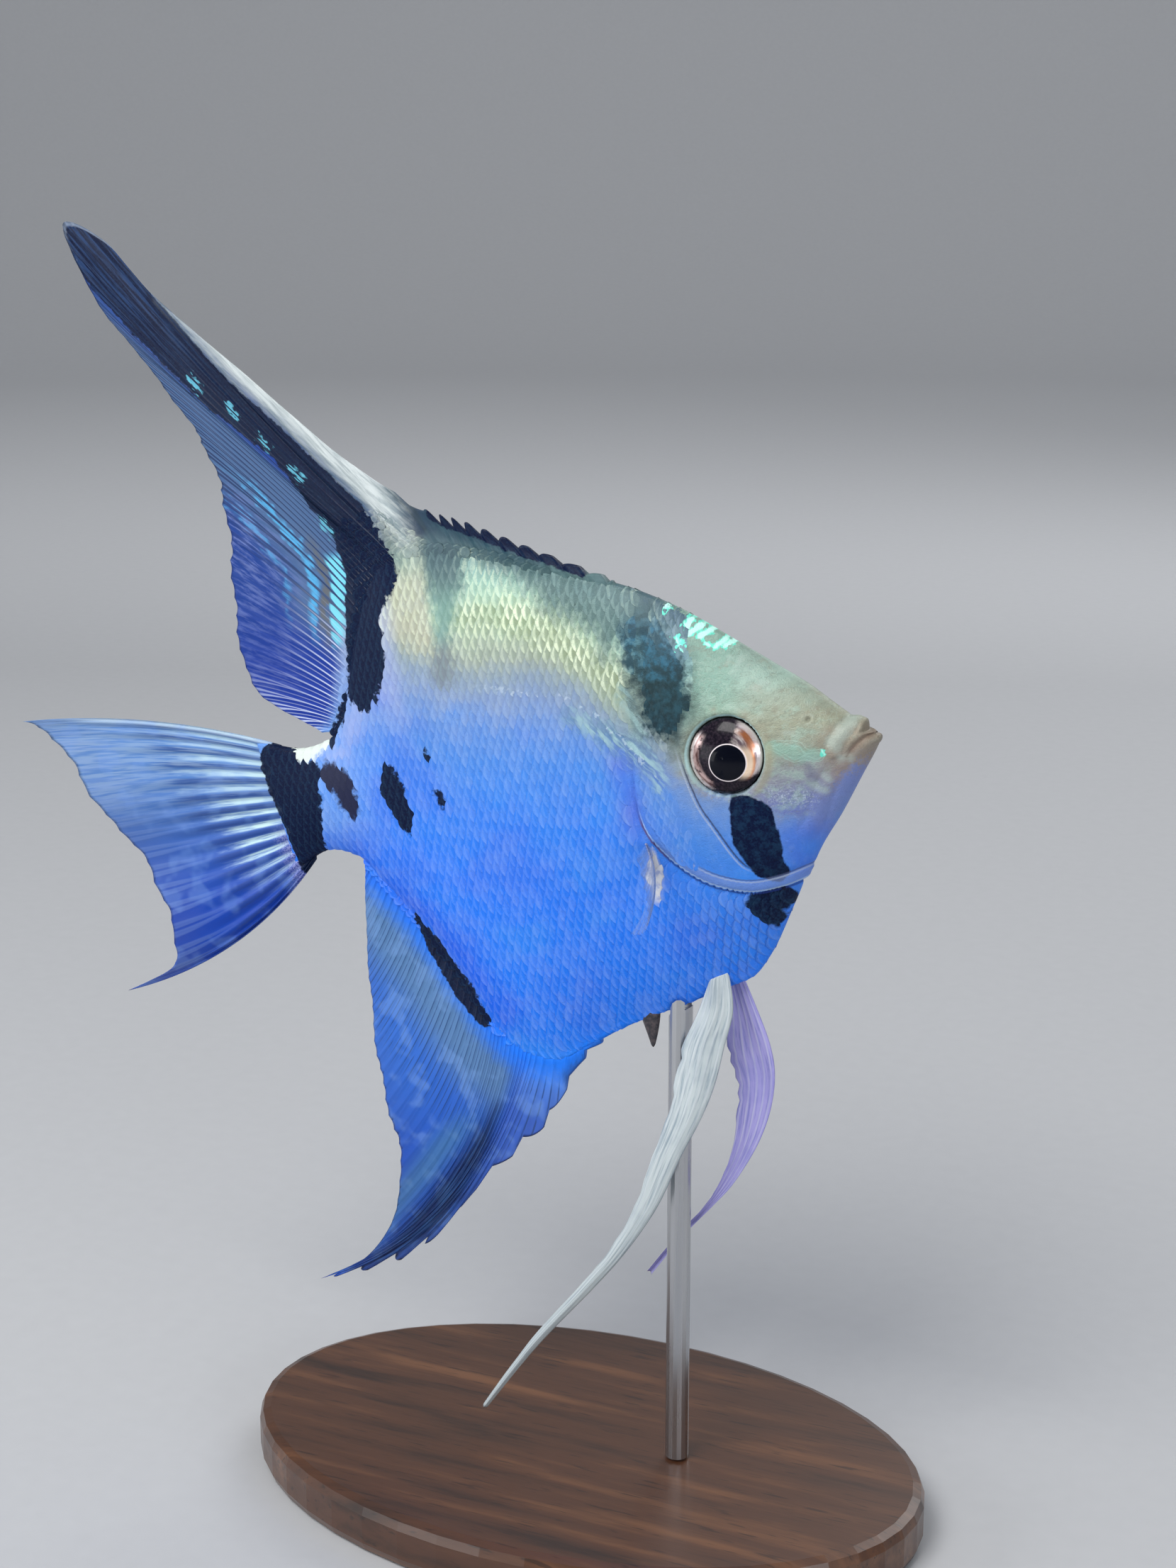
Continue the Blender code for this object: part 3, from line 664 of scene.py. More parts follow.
def add_coat(finish):
    for sign, flank in ((-1, "right"), (1, "left")):
        station, up = scale_rows(1.0, 12.0, BODY_END + 0.5)
        behind = clear_of(GILL_EDGE, station, up, 1.2) | (station > 36.9)
        top, bottom, _, _, _ = body_lines(station)
        inside = (top - up > 0.5) & (up - bottom > 0.5 + 1.2 * bell(station - 61.0, 8.0))
        keep = behind & inside
        station, up = station[keep], up[keep]
        size = np.clip(0.82 + 0.2 * step(26, 40, station) - 0.22 * step(80, 100, station), 0.6, 1.1)
        lift = SCALE_LIFT * size
        for part, low, high in (("front", -9, 52), ("middle", 52, 68), ("rear", 68, 120)):
            chosen = (station >= low) & (station < high)
            add_scales(
                f"scales_{flank}_{part}", station[chosen], up[chosen], sign, size[chosen], lift[chosen],
                finish, 40 + low + 3 * sign,
            )
        station, up = scale_rows(0.72, 20.0, 37.0)
        behind_brow = clear_of(FOREHEAD_EDGE, station, up, 0.3)
        ahead_of_gill = ~clear_of(GILL_EDGE, station, up, -1.6)
        top, bottom, _, _, _ = body_lines(station)
        keep = behind_brow & ahead_of_gill & (top - up > 0.5) & (from_eye(station, up) > EYE_RADIUS + 1.9)
        keep &= up > -15
        station, up = station[keep], up[keep]
        fade = step(-14, 2, up)
        add_scales(
            f"scales_{flank}_head", station, up, sign, np.full(len(up), 0.72),
            SCALE_LIFT * (0.35 + 0.35 * fade), finish, 70 + sign,
        )


# ---------------------------------------------------------------- eyes


def add_eyes(finish):
    """Two domes that lean with the head. `iris` runs from -1 to 1 across an eye."""
    ring = np.linspace(0, 1, EYE_RINGS)[1:, None]
    turn = np.linspace(0, 2 * math.pi, EYE_SEGMENTS, endpoint=False)[None]
    x, y = ring * np.cos(turn), ring * np.sin(turn)
    pupil = np.hypot(x * EYE_RADIUS - PUPIL_PLACE[0], y * EYE_RADIUS - PUPIL_PLACE[1])
    bulge = EYE_RIM_SIDE + EYE_BULGE * (1 - ring**2) ** 0.62 + 0 * x
    bulge += 0.10 * step(PUPIL_RADIUS + 0.35, PUPIL_RADIUS - 0.6, pupil)
    bulge -= 0.6 * step(0.985, 1.0, ring)
    for name, sign in (("left", 1), ("right", -1)):
        back, up = EYE_PLACE[0] + x * EYE_RADIUS, EYE_PLACE[1] + y * EYE_RADIUS
        dome = np.stack((back, up, sign * eye_side(back, up, bulge)), -1)
        pole = np.array([*EYE_PLACE, sign * (EYE_RIM_SIDE + EYE_BULGE)])
        rear = np.array([*EYE_PLACE, sign * (EYE_RIM_SIDE - 2.6)])
        places = np.concatenate((dome.reshape(-1, 3), [pole, rear]))
        index = np.arange((EYE_RINGS - 1) * EYE_SEGMENTS).reshape(EYE_RINGS - 1, EYE_SEGMENTS)
        wrapped = np.concatenate((index, index[:, :1]), 1)
        quads = grid_faces(wrapped)[:, ::sign].tolist()
        fans = []
        for ring_number, centre, way in ((0, len(places) - 2, sign), (-1, len(places) - 1, -sign)):
            edge = wrapped[ring_number].tolist()
            fans += [[centre, *pair][::way] for pair in zip(edge, edge[1:])]
        local = np.stack((np.ravel(x), np.ravel(y), 0 * np.ravel(x)), -1)
        iris = np.concatenate((local, [(0, 0, 0), (0, 0, 1)]))
        replaced = (f"eye_{name}",)
        add_piece(f"eyeball_{name}", places, quads + fans, finish, replaced, None, {"iris": iris})


# ---------------------------------------------------------------- fins

# A listed ray is its root's back and up, its tip's back and up, and how far it bows
DORSAL_RAYS = (
    (36.5, 22.0, 34.2, 27.6, 0.0), (45.0, 26.0, 45.8, 33.9, 0.0), (54.0, 29.5, 55.6, 39.4, 0.0),
    (60.0, 31.0, 62.8, 43.0, 0.0), (62.5, 31.5, 76.2, 52.9, -0.5), (64.0, 31.5, 89.3, 67.3, -1.0),
    (65.5, 31.5, 102.0, 81.6, -1.5), (66.2, 31.4, 108.6, 91.4, -1.8), (67.0, 31.0, 115.4, 95.1, -2.0),
    (68.5, 30.5, 112.4, 82.6, -1.0), (70.0, 29.5, 107.8, 74.6, 0.4), (72.0, 27.5, 103.0, 65.8, 0.8),
    (74.0, 25.0, 99.2, 57.4, 0.9), (76.0, 22.0, 98.2, 48.6, 0.9), (78.5, 17.5, 99.6, 38.6, 0.8),
    (81.0, 13.6, 101.4, 28.6, 0.8), (82.4, 10.6, 100.6, 18.8, 0.7), (83.0, 8.5, 90.5, 10.6, 0.6),
)
ANAL_RAYS = (
    (54.0, -37.0, 52.3, -42.3, 0.0), (57.0, -38.0, 58.0, -46.2, 0.0), (60.0, -38.5, 67.0, -56.1, -0.5),
    (62.0, -38.5, 79.8, -64.4, -1.5), (63.5, -38.0, 96.0, -76.4, -3.5), (66.0, -36.5, 115.4, -80.4, -9.0),
    (68.0, -34.0, 105.6, -76.8, -6.0), (69.5, -31.5, 98.2, -69.3, -4.0), (71.5, -28.0, 94.9, -59.0, -2.6),
    (74.0, -23.5, 95.1, -50.0, -1.8), (76.5, -19.0, 94.6, -41.5, -1.4), (79.0, -15.0, 93.2, -32.5, -1.0),
    (82.0, -11.0, 91.6, -24.0, -0.6), (84.0, -8.5, 89.4, -15.0, -0.2), (85.4, -7.8, 88.0, -11.2, 0.0),
)
TAIL_RAYS = (
    (98.5, 9.6, 145.9, 19.8, 1.9), (98.0, 7.4, 141.2, 16.0, 1.5), (97.6, 4.6, 137.0, 9.6, 1.0),
    (97.3, 1.4, 133.4, 2.6, 0.4), (97.0, -1.8, 130.0, -3.2, 0.0), (96.8, -4.6, 127.6, -9.6, -0.6),
    (96.6, -6.8, 125.4, -16.0, -1.2), (96.6, -8.2, 127.2, -23.4, -2.2), (96.8, -9.3, 138.3, -27.5, -3.6),
)
# The number of rays up to each listed ray
DORSAL_COUNTS = ((0, 0), (3, 10), (8, 18), (17, 50))
ANAL_COUNTS = ((0, 0), (4, 7), (14, 41))
TAIL_COUNTS = ((0, 0), (8, 16))
MEMBRANE = 0.05  # half its thickness
RAY_HEIGHT = 0.17  # of a ray's crest over the membrane
RAY_SAMPLES = 12
FIN_STEPS = 64

SHEATH = 0.64  # the fins' half thickness where they leave the body
SHEATH_FADE = 2.4  # how far out it has thinned by two thirds

FIN_SCALE_STEP = 0.78  # between rows of scales round a fin's root
FIN_SCALE_ROW = 1.5
FIN_SCALE_LENGTH = 1.9
FIN_SCALE_WIDTH = 1.75
FIN_SCALE_LIFT = 0.13
# The reach of the fin scales' places, which spreads their patches over the unwrap
FISH_LENGTH, FISH_DEPTH, FISH_HEIGHT = 130.0, 90.0, 190.0


def ray_bumps(phase, out, branch_from):
    """1 on a ray's crest and 0 on the membrane; each ray splits in two, and in two again."""
    local = phase % 1.0
    first = 0.19 * step(branch_from, 1.05, out)
    second = 0.09 * step(branch_from + 0.3, 1.15, out)
    width = 0.16 - 0.07 * out
    crest = np.zeros(np.broadcast(phase, out).shape)
    for one in (-1, 1):
        for two in (-1, 1):
            middle = 0.5 + one * first + two * second
            crest = np.maximum(crest, bell(local - middle, width))
    return crest


def fin_plane(rays, where, out):
    """Places (back, up) on a fin's curved rays."""
    back, up, tip_back, tip_up, bow = (part[..., 0] for part in np.split(through(rays, where), 5, -1))
    run_b, run_u = (tip_back - back)[:, None], (tip_up - up)[:, None]
    length = np.hypot(run_b, run_u)
    lift = 4 * out * (1 - out) * bow[:, None] / length
    return (
        back[:, None] + run_b * out - run_u * lift,
        up[:, None] + run_u * out + run_b * lift,
    )


def body_outline(row):
    """The body's upper (0) or lower (1) edge from snout to tail, as points (back, up)."""
    station = np.linspace(30.0, BODY_END, 60)
    return np.stack((slanted(station, body_lines(station)[row]), body_lines(station)[row]), -1)


def add_fin(name, rays, counts, finish, side_at, edge_at, branch_from, outline=None, flow=None):
    """A thin closed sheet with raised rays, which thickens towards the body's outline. side_at
    gives its place off the mid-plane and edge_at how far out each place of its margin reaches.
    Returns its right and left surfaces and how far they rise from the body."""
    listed, total = np.array(counts, float).T
    samples = int(total[-1]) * RAY_SAMPLES + 1
    phase = np.linspace(0, total[-1], samples)
    where = np.interp(phase, total, listed) / listed[-1]
    spread = np.linspace(0, 1, FIN_STEPS) ** 1.15
    edge = edge_at(phase, where)[:, None]
    out = spread[None] * edge
    back, up = fin_plane(rays, where, out)
    if flow:
        back, up = flow(phase[:, None], where[:, None], out, back, up)
    crest = ray_bumps(phase[:, None], out, branch_from)
    taper = 1 - 0.72 * out
    half = (MEMBRANE + RAY_HEIGHT * crest) * taper
    rise = 99.0 + 0 * back
    if outline is not None:
        gap, edge_side, _ = near_line(back, up, outline)
        outward = 1 if outline[:, 1].mean() > 0 else -1
        rise = gap * edge_side * outward
        half = half + SHEATH * np.exp(-np.maximum(rise, 0) / SHEATH_FADE)
    half = half * step(0, 0.03, 1 - spread)[None]
    middle = side_at(phase[:, None], where[:, None], out)
    front, rear = two_sided(samples, FIN_STEPS)
    right = np.stack((back, up, middle - half), -1)
    left = np.stack((back, up, middle + half), -1)
    for edge_line in ((0, slice(None)), (-1, slice(None)), (slice(None), 0), (slice(None), -1)):
        right[(*edge_line, 2)] = middle[edge_line]
    places = np.concatenate((right.reshape(-1, 3), left[1:-1, 1:-1].reshape(-1, 3)))

    def spread_field(values):
        values = np.broadcast_to(values, back.shape)
        return np.concatenate((values.ravel(), values[1:-1, 1:-1].ravel()))

    fields = marks(places[:, 0], places[:, 1])
    fields["ray"] = np.stack([spread_field(v) for v in (phase[:, None], out, crest)], -1)
    fields["fan"] = np.stack([spread_field(v) for v in (where[:, None], rise, edge - out)], -1)
    turn = np.gradient(back, axis=0) * np.gradient(up, axis=1)
    turn -= np.gradient(up, axis=0) * np.gradient(back, axis=1)
    order = -1 if turn.mean() > 0 else 1
    faces = np.concatenate((grid_faces(front)[:, ::order], grid_faces(rear)[:, ::-order]))
    u = np.broadcast_to(np.linspace(0, 0.49, samples)[:, None], back.shape)
    v = np.broadcast_to(np.linspace(0, 1, FIN_STEPS)[None], back.shape)
    corners = grid_faces(np.arange(samples * FIN_STEPS).reshape(samples, FIN_STEPS))[:, ::order]
    near = np.stack((u.ravel()[corners], v.ravel()[corners]), -1)
    far = near[:, ::-1] + (0.505, 0)
    add_piece(name + "_rays", places, faces, finish, (name,), np.concatenate((near, far)), fields)
    return right, left, rise, where


def add_fin_scales(name, surfaces, reach_at, finish, seed):
    """Small scales that run up from the body over the root of a fin, between its rays."""
    right, left, rise, where = surfaces
    root = np.argmin(np.abs(rise), axis=1)
    rows = np.arange(len(root))
    base = right[rows, root, :2]
    around = np.concatenate(([0], np.cumsum(np.hypot(*np.diff(base, axis=0).T))))
    columns = np.interp(np.arange(0.4, around[-1], FIN_SCALE_STEP), around, rows)
    steps = np.diff(right[..., :2], axis=1, prepend=right[:, :1, :2])
    along_fin = np.cumsum(np.hypot(steps[..., 0], steps[..., 1]), 1)
    for side, surface in (("right", right), ("left", left)):
        sign = -1 if side == "right" else 1
        centres, outward = [], []
        for number, column in enumerate(columns):
            row = int(column)
            length = along_fin[row] - along_fin[row, root[row]]
            at = np.arange(-0.6 + FIN_SCALE_ROW * (number % 2) / 2, reach_at(where[row]), FIN_SCALE_ROW)
            for place in at:
                if place > length[-2]:
                    break
                spot = [np.interp(place, length, surface[row, :, k]) for k in range(3)]
                ahead = [np.interp(place + 0.5, length, surface[row, :, k]) for k in range(3)]
                centres.append(spot)
                outward.append((*np.subtract(ahead, spot), place))
        add_fin_plates(
            f"scales_{name}_{side}", np.array(centres), np.array(outward), sign, finish, seed + sign,
        )


def add_fin_plates(name, centres, outward, sign, finish, seed):
    """Scale plates that lie along a fin. `outward` is the way out, and how far out each lies."""
    draws = np.random.default_rng(seed)
    count = len(centres)
    rise = outward[:, 3]
    ray = outward[:, :3] / np.linalg.norm(outward[:, :3], axis=1)[:, None]
    lie = ray + np.array((0.9, 0.0, 0.0)) * step(4.0, -1.0, rise)[:, None]
    lie /= np.linalg.norm(lie, axis=1)[:, None]
    normal = np.cross(lie, np.cross((0.0, 0.0, float(sign)), lie))
    normal /= np.linalg.norm(normal, axis=1)[:, None]
    across_way = np.cross(normal, lie)
    along, across, dome, s, _ = (field.ravel() for field in scale_shape())
    size = (1.0 - 0.35 * step(1.0, 8.0, rise)) * draws.uniform(0.92, 1.08, count)
    tilt = (s - 0.40)[None] + dome[None] + draws.normal(0, 0.06, count)[:, None]
    lift = FIN_SCALE_LIFT * size[:, None] * tilt
    points = (
        centres[:, None] + lie[:, None] * ((along - 0.5)[None] * FIN_SCALE_LENGTH * size[:, None])[..., None]
        + across_way[:, None] * (across[None] * FIN_SCALE_WIDTH / 2 * size[:, None])[..., None]
        + normal[:, None] * lift[..., None]
    )
    patch = centres[:, 0] / FISH_LENGTH, (centres[:, 1] + FISH_DEPTH) / FISH_HEIGHT
    drawn = drawn_at((centres + lie * SEEN_BEHIND * FIN_SCALE_LENGTH)[:, :2], points)
    off_lateral_line = {"lateral": np.full(len(drawn), 9.0)}
    add_plates(name, points, False, patch, drawn, off_lateral_line, draws, finish)


def add_middle_fins(finishes):
    def dorsal_side(phase, where, out):
        return -1.6 * out**2 * np.sin(math.pi * where) + 0.05 * np.sin(2 * math.pi * phase) * out

    def anal_side(phase, where, out):
        return 1.4 * out**2 * np.sin(math.pi * where) + 0.05 * np.sin(2 * math.pi * phase) * out

    def tail_side(phase, where, out):
        pleat = 0.26 * np.sin(2 * math.pi * phase) * np.sin(math.pi * np.minimum(out * 1.25, 1)) ** 0.7
        return 0.9 * out * np.sin(4.5 * math.pi * where) - 2.0 * out**2 + pleat

    def dorsal_edge(phase, where):
        spiny = step(0.22, 0.17, where)
        tooth = 0.26 * ((phase + 0.5) % 1.0) ** 1.5
        soft = 0.012 * np.abs(np.sin(math.pi * phase)) + 0.012 * np.sin(1.7 * phase)
        return 1 - spiny * tooth - soft * step(0.55, 0.7, where)

    def dorsal_flow(phase, where, out, back, up):
        """The short spines sweep back at their tips."""
        spiny = step(0.26, 0.16, where)
        return back + 1.9 * spiny * out**3, up - 0.35 * spiny * out**3

    def anal_edge(phase, where):
        spiny = step(0.42, 0.26, where)
        tooth = 0.16 * ((phase + 0.5) % 1.0) ** 1.5
        soft = 0.010 * np.abs(np.sin(math.pi * phase)) + 0.010 * np.sin(1.3 * phase)
        return 1 - spiny * tooth - soft * step(0.45, 0.6, where)

    def tail_edge(phase, where):
        return 1 - 0.008 * np.abs(np.sin(math.pi * phase)) - 0.008 * np.sin(2.3 * phase)

    def dorsal_reach(where):
        return -1.0 + 1.2 * step(0.05, 0.07, where) + 8.5 * step(0.19, 0.27, where) * step(0.74, 0.60, where)

    def anal_reach(where):
        return -1.0 + 1.3 * step(0.34, 0.44, where)

    dorsal = add_fin(
        "dorsal_fin", DORSAL_RAYS, DORSAL_COUNTS, finishes["dorsal"], dorsal_side, dorsal_edge, 0.45,
        body_outline(0), dorsal_flow,
    )
    anal = add_fin(
        "anal_fin", ANAL_RAYS, ANAL_COUNTS, finishes["anal"], anal_side, anal_edge, 0.45, body_outline(1),
    )
    add_fin("caudal_fin", TAIL_RAYS, TAIL_COUNTS, finishes["tail"], tail_side, tail_edge, 0.28)
    add_fin_scales("dorsal", dorsal, dorsal_reach, finishes["scales"], 81)
    add_fin_scales("anal", anal, anal_reach, finishes["scales"], 91)


# Down each ventral blade: the back and up of its front edge, and of its rear edge
RIGHT_VENTRAL_ROWS = (
    (29.4, -33.0, 33.0, -34.0), (29.8, -38.8, 35.4, -38.4), (32.2, -44.2, 39.2, -43.9),
    (34.9, -50.0, 41.6, -49.4), (38.0, -54.9, 43.9, -54.6), (42.6, -60.8, 47.9, -61.2),
    (48.1, -68.4, 52.7, -69.0), (54.9, -75.4, 58.5, -75.6), (62.0, -81.3, 63.9, -80.4),
    (74.0, -90.6, 75.1, -89.6), (85.6, -100.9, 86.2, -100.3),
)
LEFT_VENTRAL_ROWS = (
    (28.8, -33.5, 31.9, -34.2), (27.5, -40.3, 32.8, -41.0), (26.8, -46.0, 34.0, -46.4),
    (27.3, -51.0, 33.9, -52.0), (29.4, -56.5, 35.4, -57.5), (32.9, -62.0, 37.5, -63.0),
    (38.1, -67.8, 41.0, -68.2), (42.6, -71.5, 44.6, -71.9), (48.6, -76.1, 49.8, -76.0),
    (55.9, -82.6, 56.5, -82.0),
)
VENTRAL_SIDE = (1.6, 3.0, 3.9, 4.6)
VENTRAL_COLUMNS, VENTRAL_STEPS = 41, 240
VENTRAL_RAYS = 6

PECTORAL_ROOT = (36.1, -12.8)
PECTORAL_SIDE = 6.3
PECTORAL_LEAN = (0.447, 0.845, -0.291)  # forward, outward and up
PECTORAL_HALF_ROOT = 1.7
PECTORAL_SPREAD = math.radians(24.0)
PECTORAL_LENGTH = 20.0
PECTORAL_RAYS = 11

VENT_PLACE = (44.3, -37.6)
VENT_LENGTH = 6.6
VENT_RADIUS = 1.9


def add_sheet(name, middle, normal, half, finish, replaces, fields):
    """A thin closed sheet from its middle surface, unit normals and half thickness."""
    rows, columns = half.shape
    edge = np.ones((rows, columns))
    edge[[0, -1]] = edge[:, [0, -1]] = 0
    offset = normal * (half * edge)[..., None]
    front, rear = two_sided(rows, columns)
    above, below = middle + offset, middle - offset
    places = np.concatenate((above.reshape(-1, 3), below[1:-1, 1:-1].reshape(-1, 3)))
    faces = np.concatenate((grid_faces(front), grid_faces(rear)[:, ::-1]))
    spread = {}
    for label, values in fields.items():
        inner = values[1:-1, 1:-1]
        inner = inner.reshape(inner.shape[0] * inner.shape[1], -1)
        spread[label] = np.concatenate((values.reshape(rows * columns, -1), inner))
        if spread[label].shape[1] == 1:
            spread[label] = spread[label][:, 0]
    u = np.broadcast_to(np.linspace(0, 0.49, columns)[None], (rows, columns))
    v = np.broadcast_to(np.linspace(0, 1, rows)[:, None], (rows, columns))
    corners = grid_faces(np.arange(rows * columns).reshape(rows, columns))
    near = np.stack((u.ravel()[corners], v.ravel()[corners]), -1)
    uv = np.concatenate((near, near[:, ::-1] + (0.505, 0)))
    return add_piece(name, places, faces, finish, replaces, uv, spread)


def add_ventral_fins(finishes):
    """Long narrow blades of a few joined rays, which end in a thread."""
    length = np.linspace(0, 1, VENTRAL_STEPS)
    across = np.linspace(-1, 1, VENTRAL_COLUMNS)[None]
    off = through([(side,) for side in VENTRAL_SIDE], length)[:, 0][:, None]
    draws = np.random.default_rng(5)
    for side, rows, sign in (("right", RIGHT_VENTRAL_ROWS, -1), ("left", LEFT_VENTRAL_ROWS, 1)):
        front_b, front_u, rear_b, rear_u = (part[..., 0] for part in np.split(through(rows, length), 4, -1))
        notch = np.interp(length, np.linspace(0, 1, 40), draws.uniform(0, 1, 40) ** 3)
        reach = 1 - 0.16 * notch[:, None] * np.where(across > 0, across**2, 0)
        t = (across * reach + 1) / 2
        back = front_b[:, None] + (rear_b - front_b)[:, None] * t
        up = front_u[:, None] + (rear_u - front_u)[:, None] * t
        fold = 0.16 * np.sin(math.pi * 1.5 * across + 9 * length[:, None]) * (1 - length[:, None])
        cup = 0.55 * (1 - across**2) - 0.3
        middle = np.stack((back, up, sign * (off + cup + fold)), -1)
        phase = (across + 1) / 2 * VENTRAL_RAYS * (1 - 0.45 * length[:, None])
        ridge = np.abs(np.sin(math.pi * phase)) ** 3
        half = (0.10 + 0.24 * (1 - across**2) ** 0.5 + 0.06 * ridge) * (1 - 0.62 * length[:, None])
        normal = np.broadcast_to((0.0, 0.0, float(sign)), middle.shape)
        if sign < 0:
            middle, half, ridge = middle[:, ::-1], half[:, ::-1], ridge[:, ::-1]
            normal = normal[:, ::-1]
        grid = np.broadcast_to(length[:, None], half.shape)
        width = np.broadcast_to(across if sign > 0 else across[:, ::-1], half.shape)
        fields = {"ray": np.stack((width * VENTRAL_RAYS / 2, grid, ridge + 0 * grid), -1)}
        add_sheet(
            f"ventral_blade_{side}", middle, normal, half + 0 * grid, finishes[f"ventral_{side}"],
            (f"ventral_fin_{side}",), fields,
        )


def add_pectoral_fins(finish):
    """Clear fans that spread outward from behind the gill covers."""
    forward, outward, rise = PECTORAL_LEAN
    for side, sign in (("right", -1), ("left", 1)):
        out = np.array((-forward, rise, sign * outward))
        out /= np.linalg.norm(out)
        lifted = np.array((0.0, 1.0, 0.0)) - out * out[1]
        lifted /= np.linalg.norm(lifted)
        facing = np.cross(out, lifted)
        samples = PECTORAL_RAYS * 10 + 1
        spread = np.linspace(1, -1, samples)[:, None]
        steps = np.linspace(0, 1, 48)[None]
        angle = spread * PECTORAL_SPREAD
        phase = (1 - spread) / 2 * PECTORAL_RAYS
        reach = PECTORAL_LENGTH * (1 + 0.35 * spread) * np.cos(0.9 * angle)
        reach = reach * (1 - 0.03 * np.abs(np.sin(math.pi * phase)))
        root = np.array((*PECTORAL_ROOT, sign * PECTORAL_SIDE))
        aim = out * np.cos(angle)[..., None] + lifted * np.sin(angle)[..., None]
        start = root + lifted * (spread * PECTORAL_HALF_ROOT)[..., None]
        middle = start + aim * (reach * steps)[..., None]
        curl = 3.6 * steps**2 * (1 - 0.4 * spread) - 1.3 * (1 - spread**2) * steps**0.6
        ripple = 0.12 * np.sin(2 * math.pi * phase) * steps
        middle = middle - sign * facing * (curl + ripple)[..., None]
        crest = ray_bumps(phase, steps, 0.4)
        half = (0.035 + 0.11 * crest) * (1 - 0.7 * steps) + 0.12 * bell(steps, 0.1)
        normal = np.broadcast_to(facing, middle.shape)
        fields = {"ray": np.stack(np.broadcast_arrays(phase, steps, crest), -1)}
        add_sheet(
            f"pectoral_fan_{side}", middle, normal, half, finish,
            (f"pectoral_fin_{side}",), fields,
        )


def add_vent(finish):
    """The dark pointed flap of the vent."""
    rings, segments = 30, 40
    down = np.linspace(0, 1, rings)[:, None]
    turn = np.linspace(0, 2 * math.pi, segments, endpoint=False)[None]
    radius = VENT_RADIUS * (1 - 0.88 * down**1.25) * np.sqrt(np.clip((1 - down) / 0.05, 0, 1))
    radius = np.maximum(radius, 0.02)
    wrinkle = 1 + 0.03 * np.sin(5 * turn) * (1 - down)
    back = VENT_PLACE[0] + radius * wrinkle * np.cos(turn) + 0.7 * down**2
    up = VENT_PLACE[1] - VENT_LENGTH * down + 0 * turn
    side = 0.5 * radius * wrinkle * np.sin(turn)
    places = np.stack((back, up, side), -1)
    index = np.arange(rings * segments).reshape(rings, segments)
    wrapped = np.concatenate((index, index[:, :1]), 1)
    faces = grid_faces(wrapped).tolist() + [index[0].tolist(), index[-1][::-1].tolist()]
    add_piece("vent_flap", places.reshape(-1, 3), faces, finish, ("vent_papilla",))


# ---------------------------------------------------------------- materials


def rgb(red, green, blue):
    """A linear colour from display values of 0 to 255."""
    def linear(value):
        value /= 255.0
        return value / 12.92 if value <= 0.04045 else ((value + 0.055) / 1.055) ** 2.4

    return (linear(red), linear(green), linear(blue))


class Field:
    """A number, vector or colour inside a material. Arithmetic on it, and its calls, add nodes."""

    def __init__(self, shade, socket):
        self.shade = shade
        self.socket = socket

    def __add__(self, other):
        return self.shade.math("ADD", self, other)

    def __sub__(self, other):
        return self.shade.math("SUBTRACT", self, other)

    def __rsub__(self, other):
        return self.shade.math("SUBTRACT", other, self)

    def __mul__(self, other):
        return self.shade.math("MULTIPLY", self, other)

    def most(self, other):
        return self.shade.math("MAXIMUM", self, other)

    def least(self, other):
        return self.shade.math("MINIMUM", self, other)

    def step(self, low, high, bottom=0, top=1):
        """Goes smoothly from bottom at low to top at high."""
        values = {"Value": self, "From Min": low, "From Max": high, "To Min": bottom, "To Max": top}
        return self.shade.node("MapRange", values, "Result", interpolation_type="SMOOTHSTEP")

    def band(self, low, high, soft):
        """1 from low to high, with soft ends."""
        return self.step(low - soft, low + soft) * self.step(high + soft, high - soft)


def mix(amount, first, second):
    """The first colour where the amount is 0, and the second where it is 1."""
    made = amount.shade.make("Mix", {}, data_type="RGBA")
    for number, value in ((0, amount), (6, first), (7, second)):
        amount.shade.put(made.inputs[number], value)
    return Field(amount.shade, made.outputs[2])


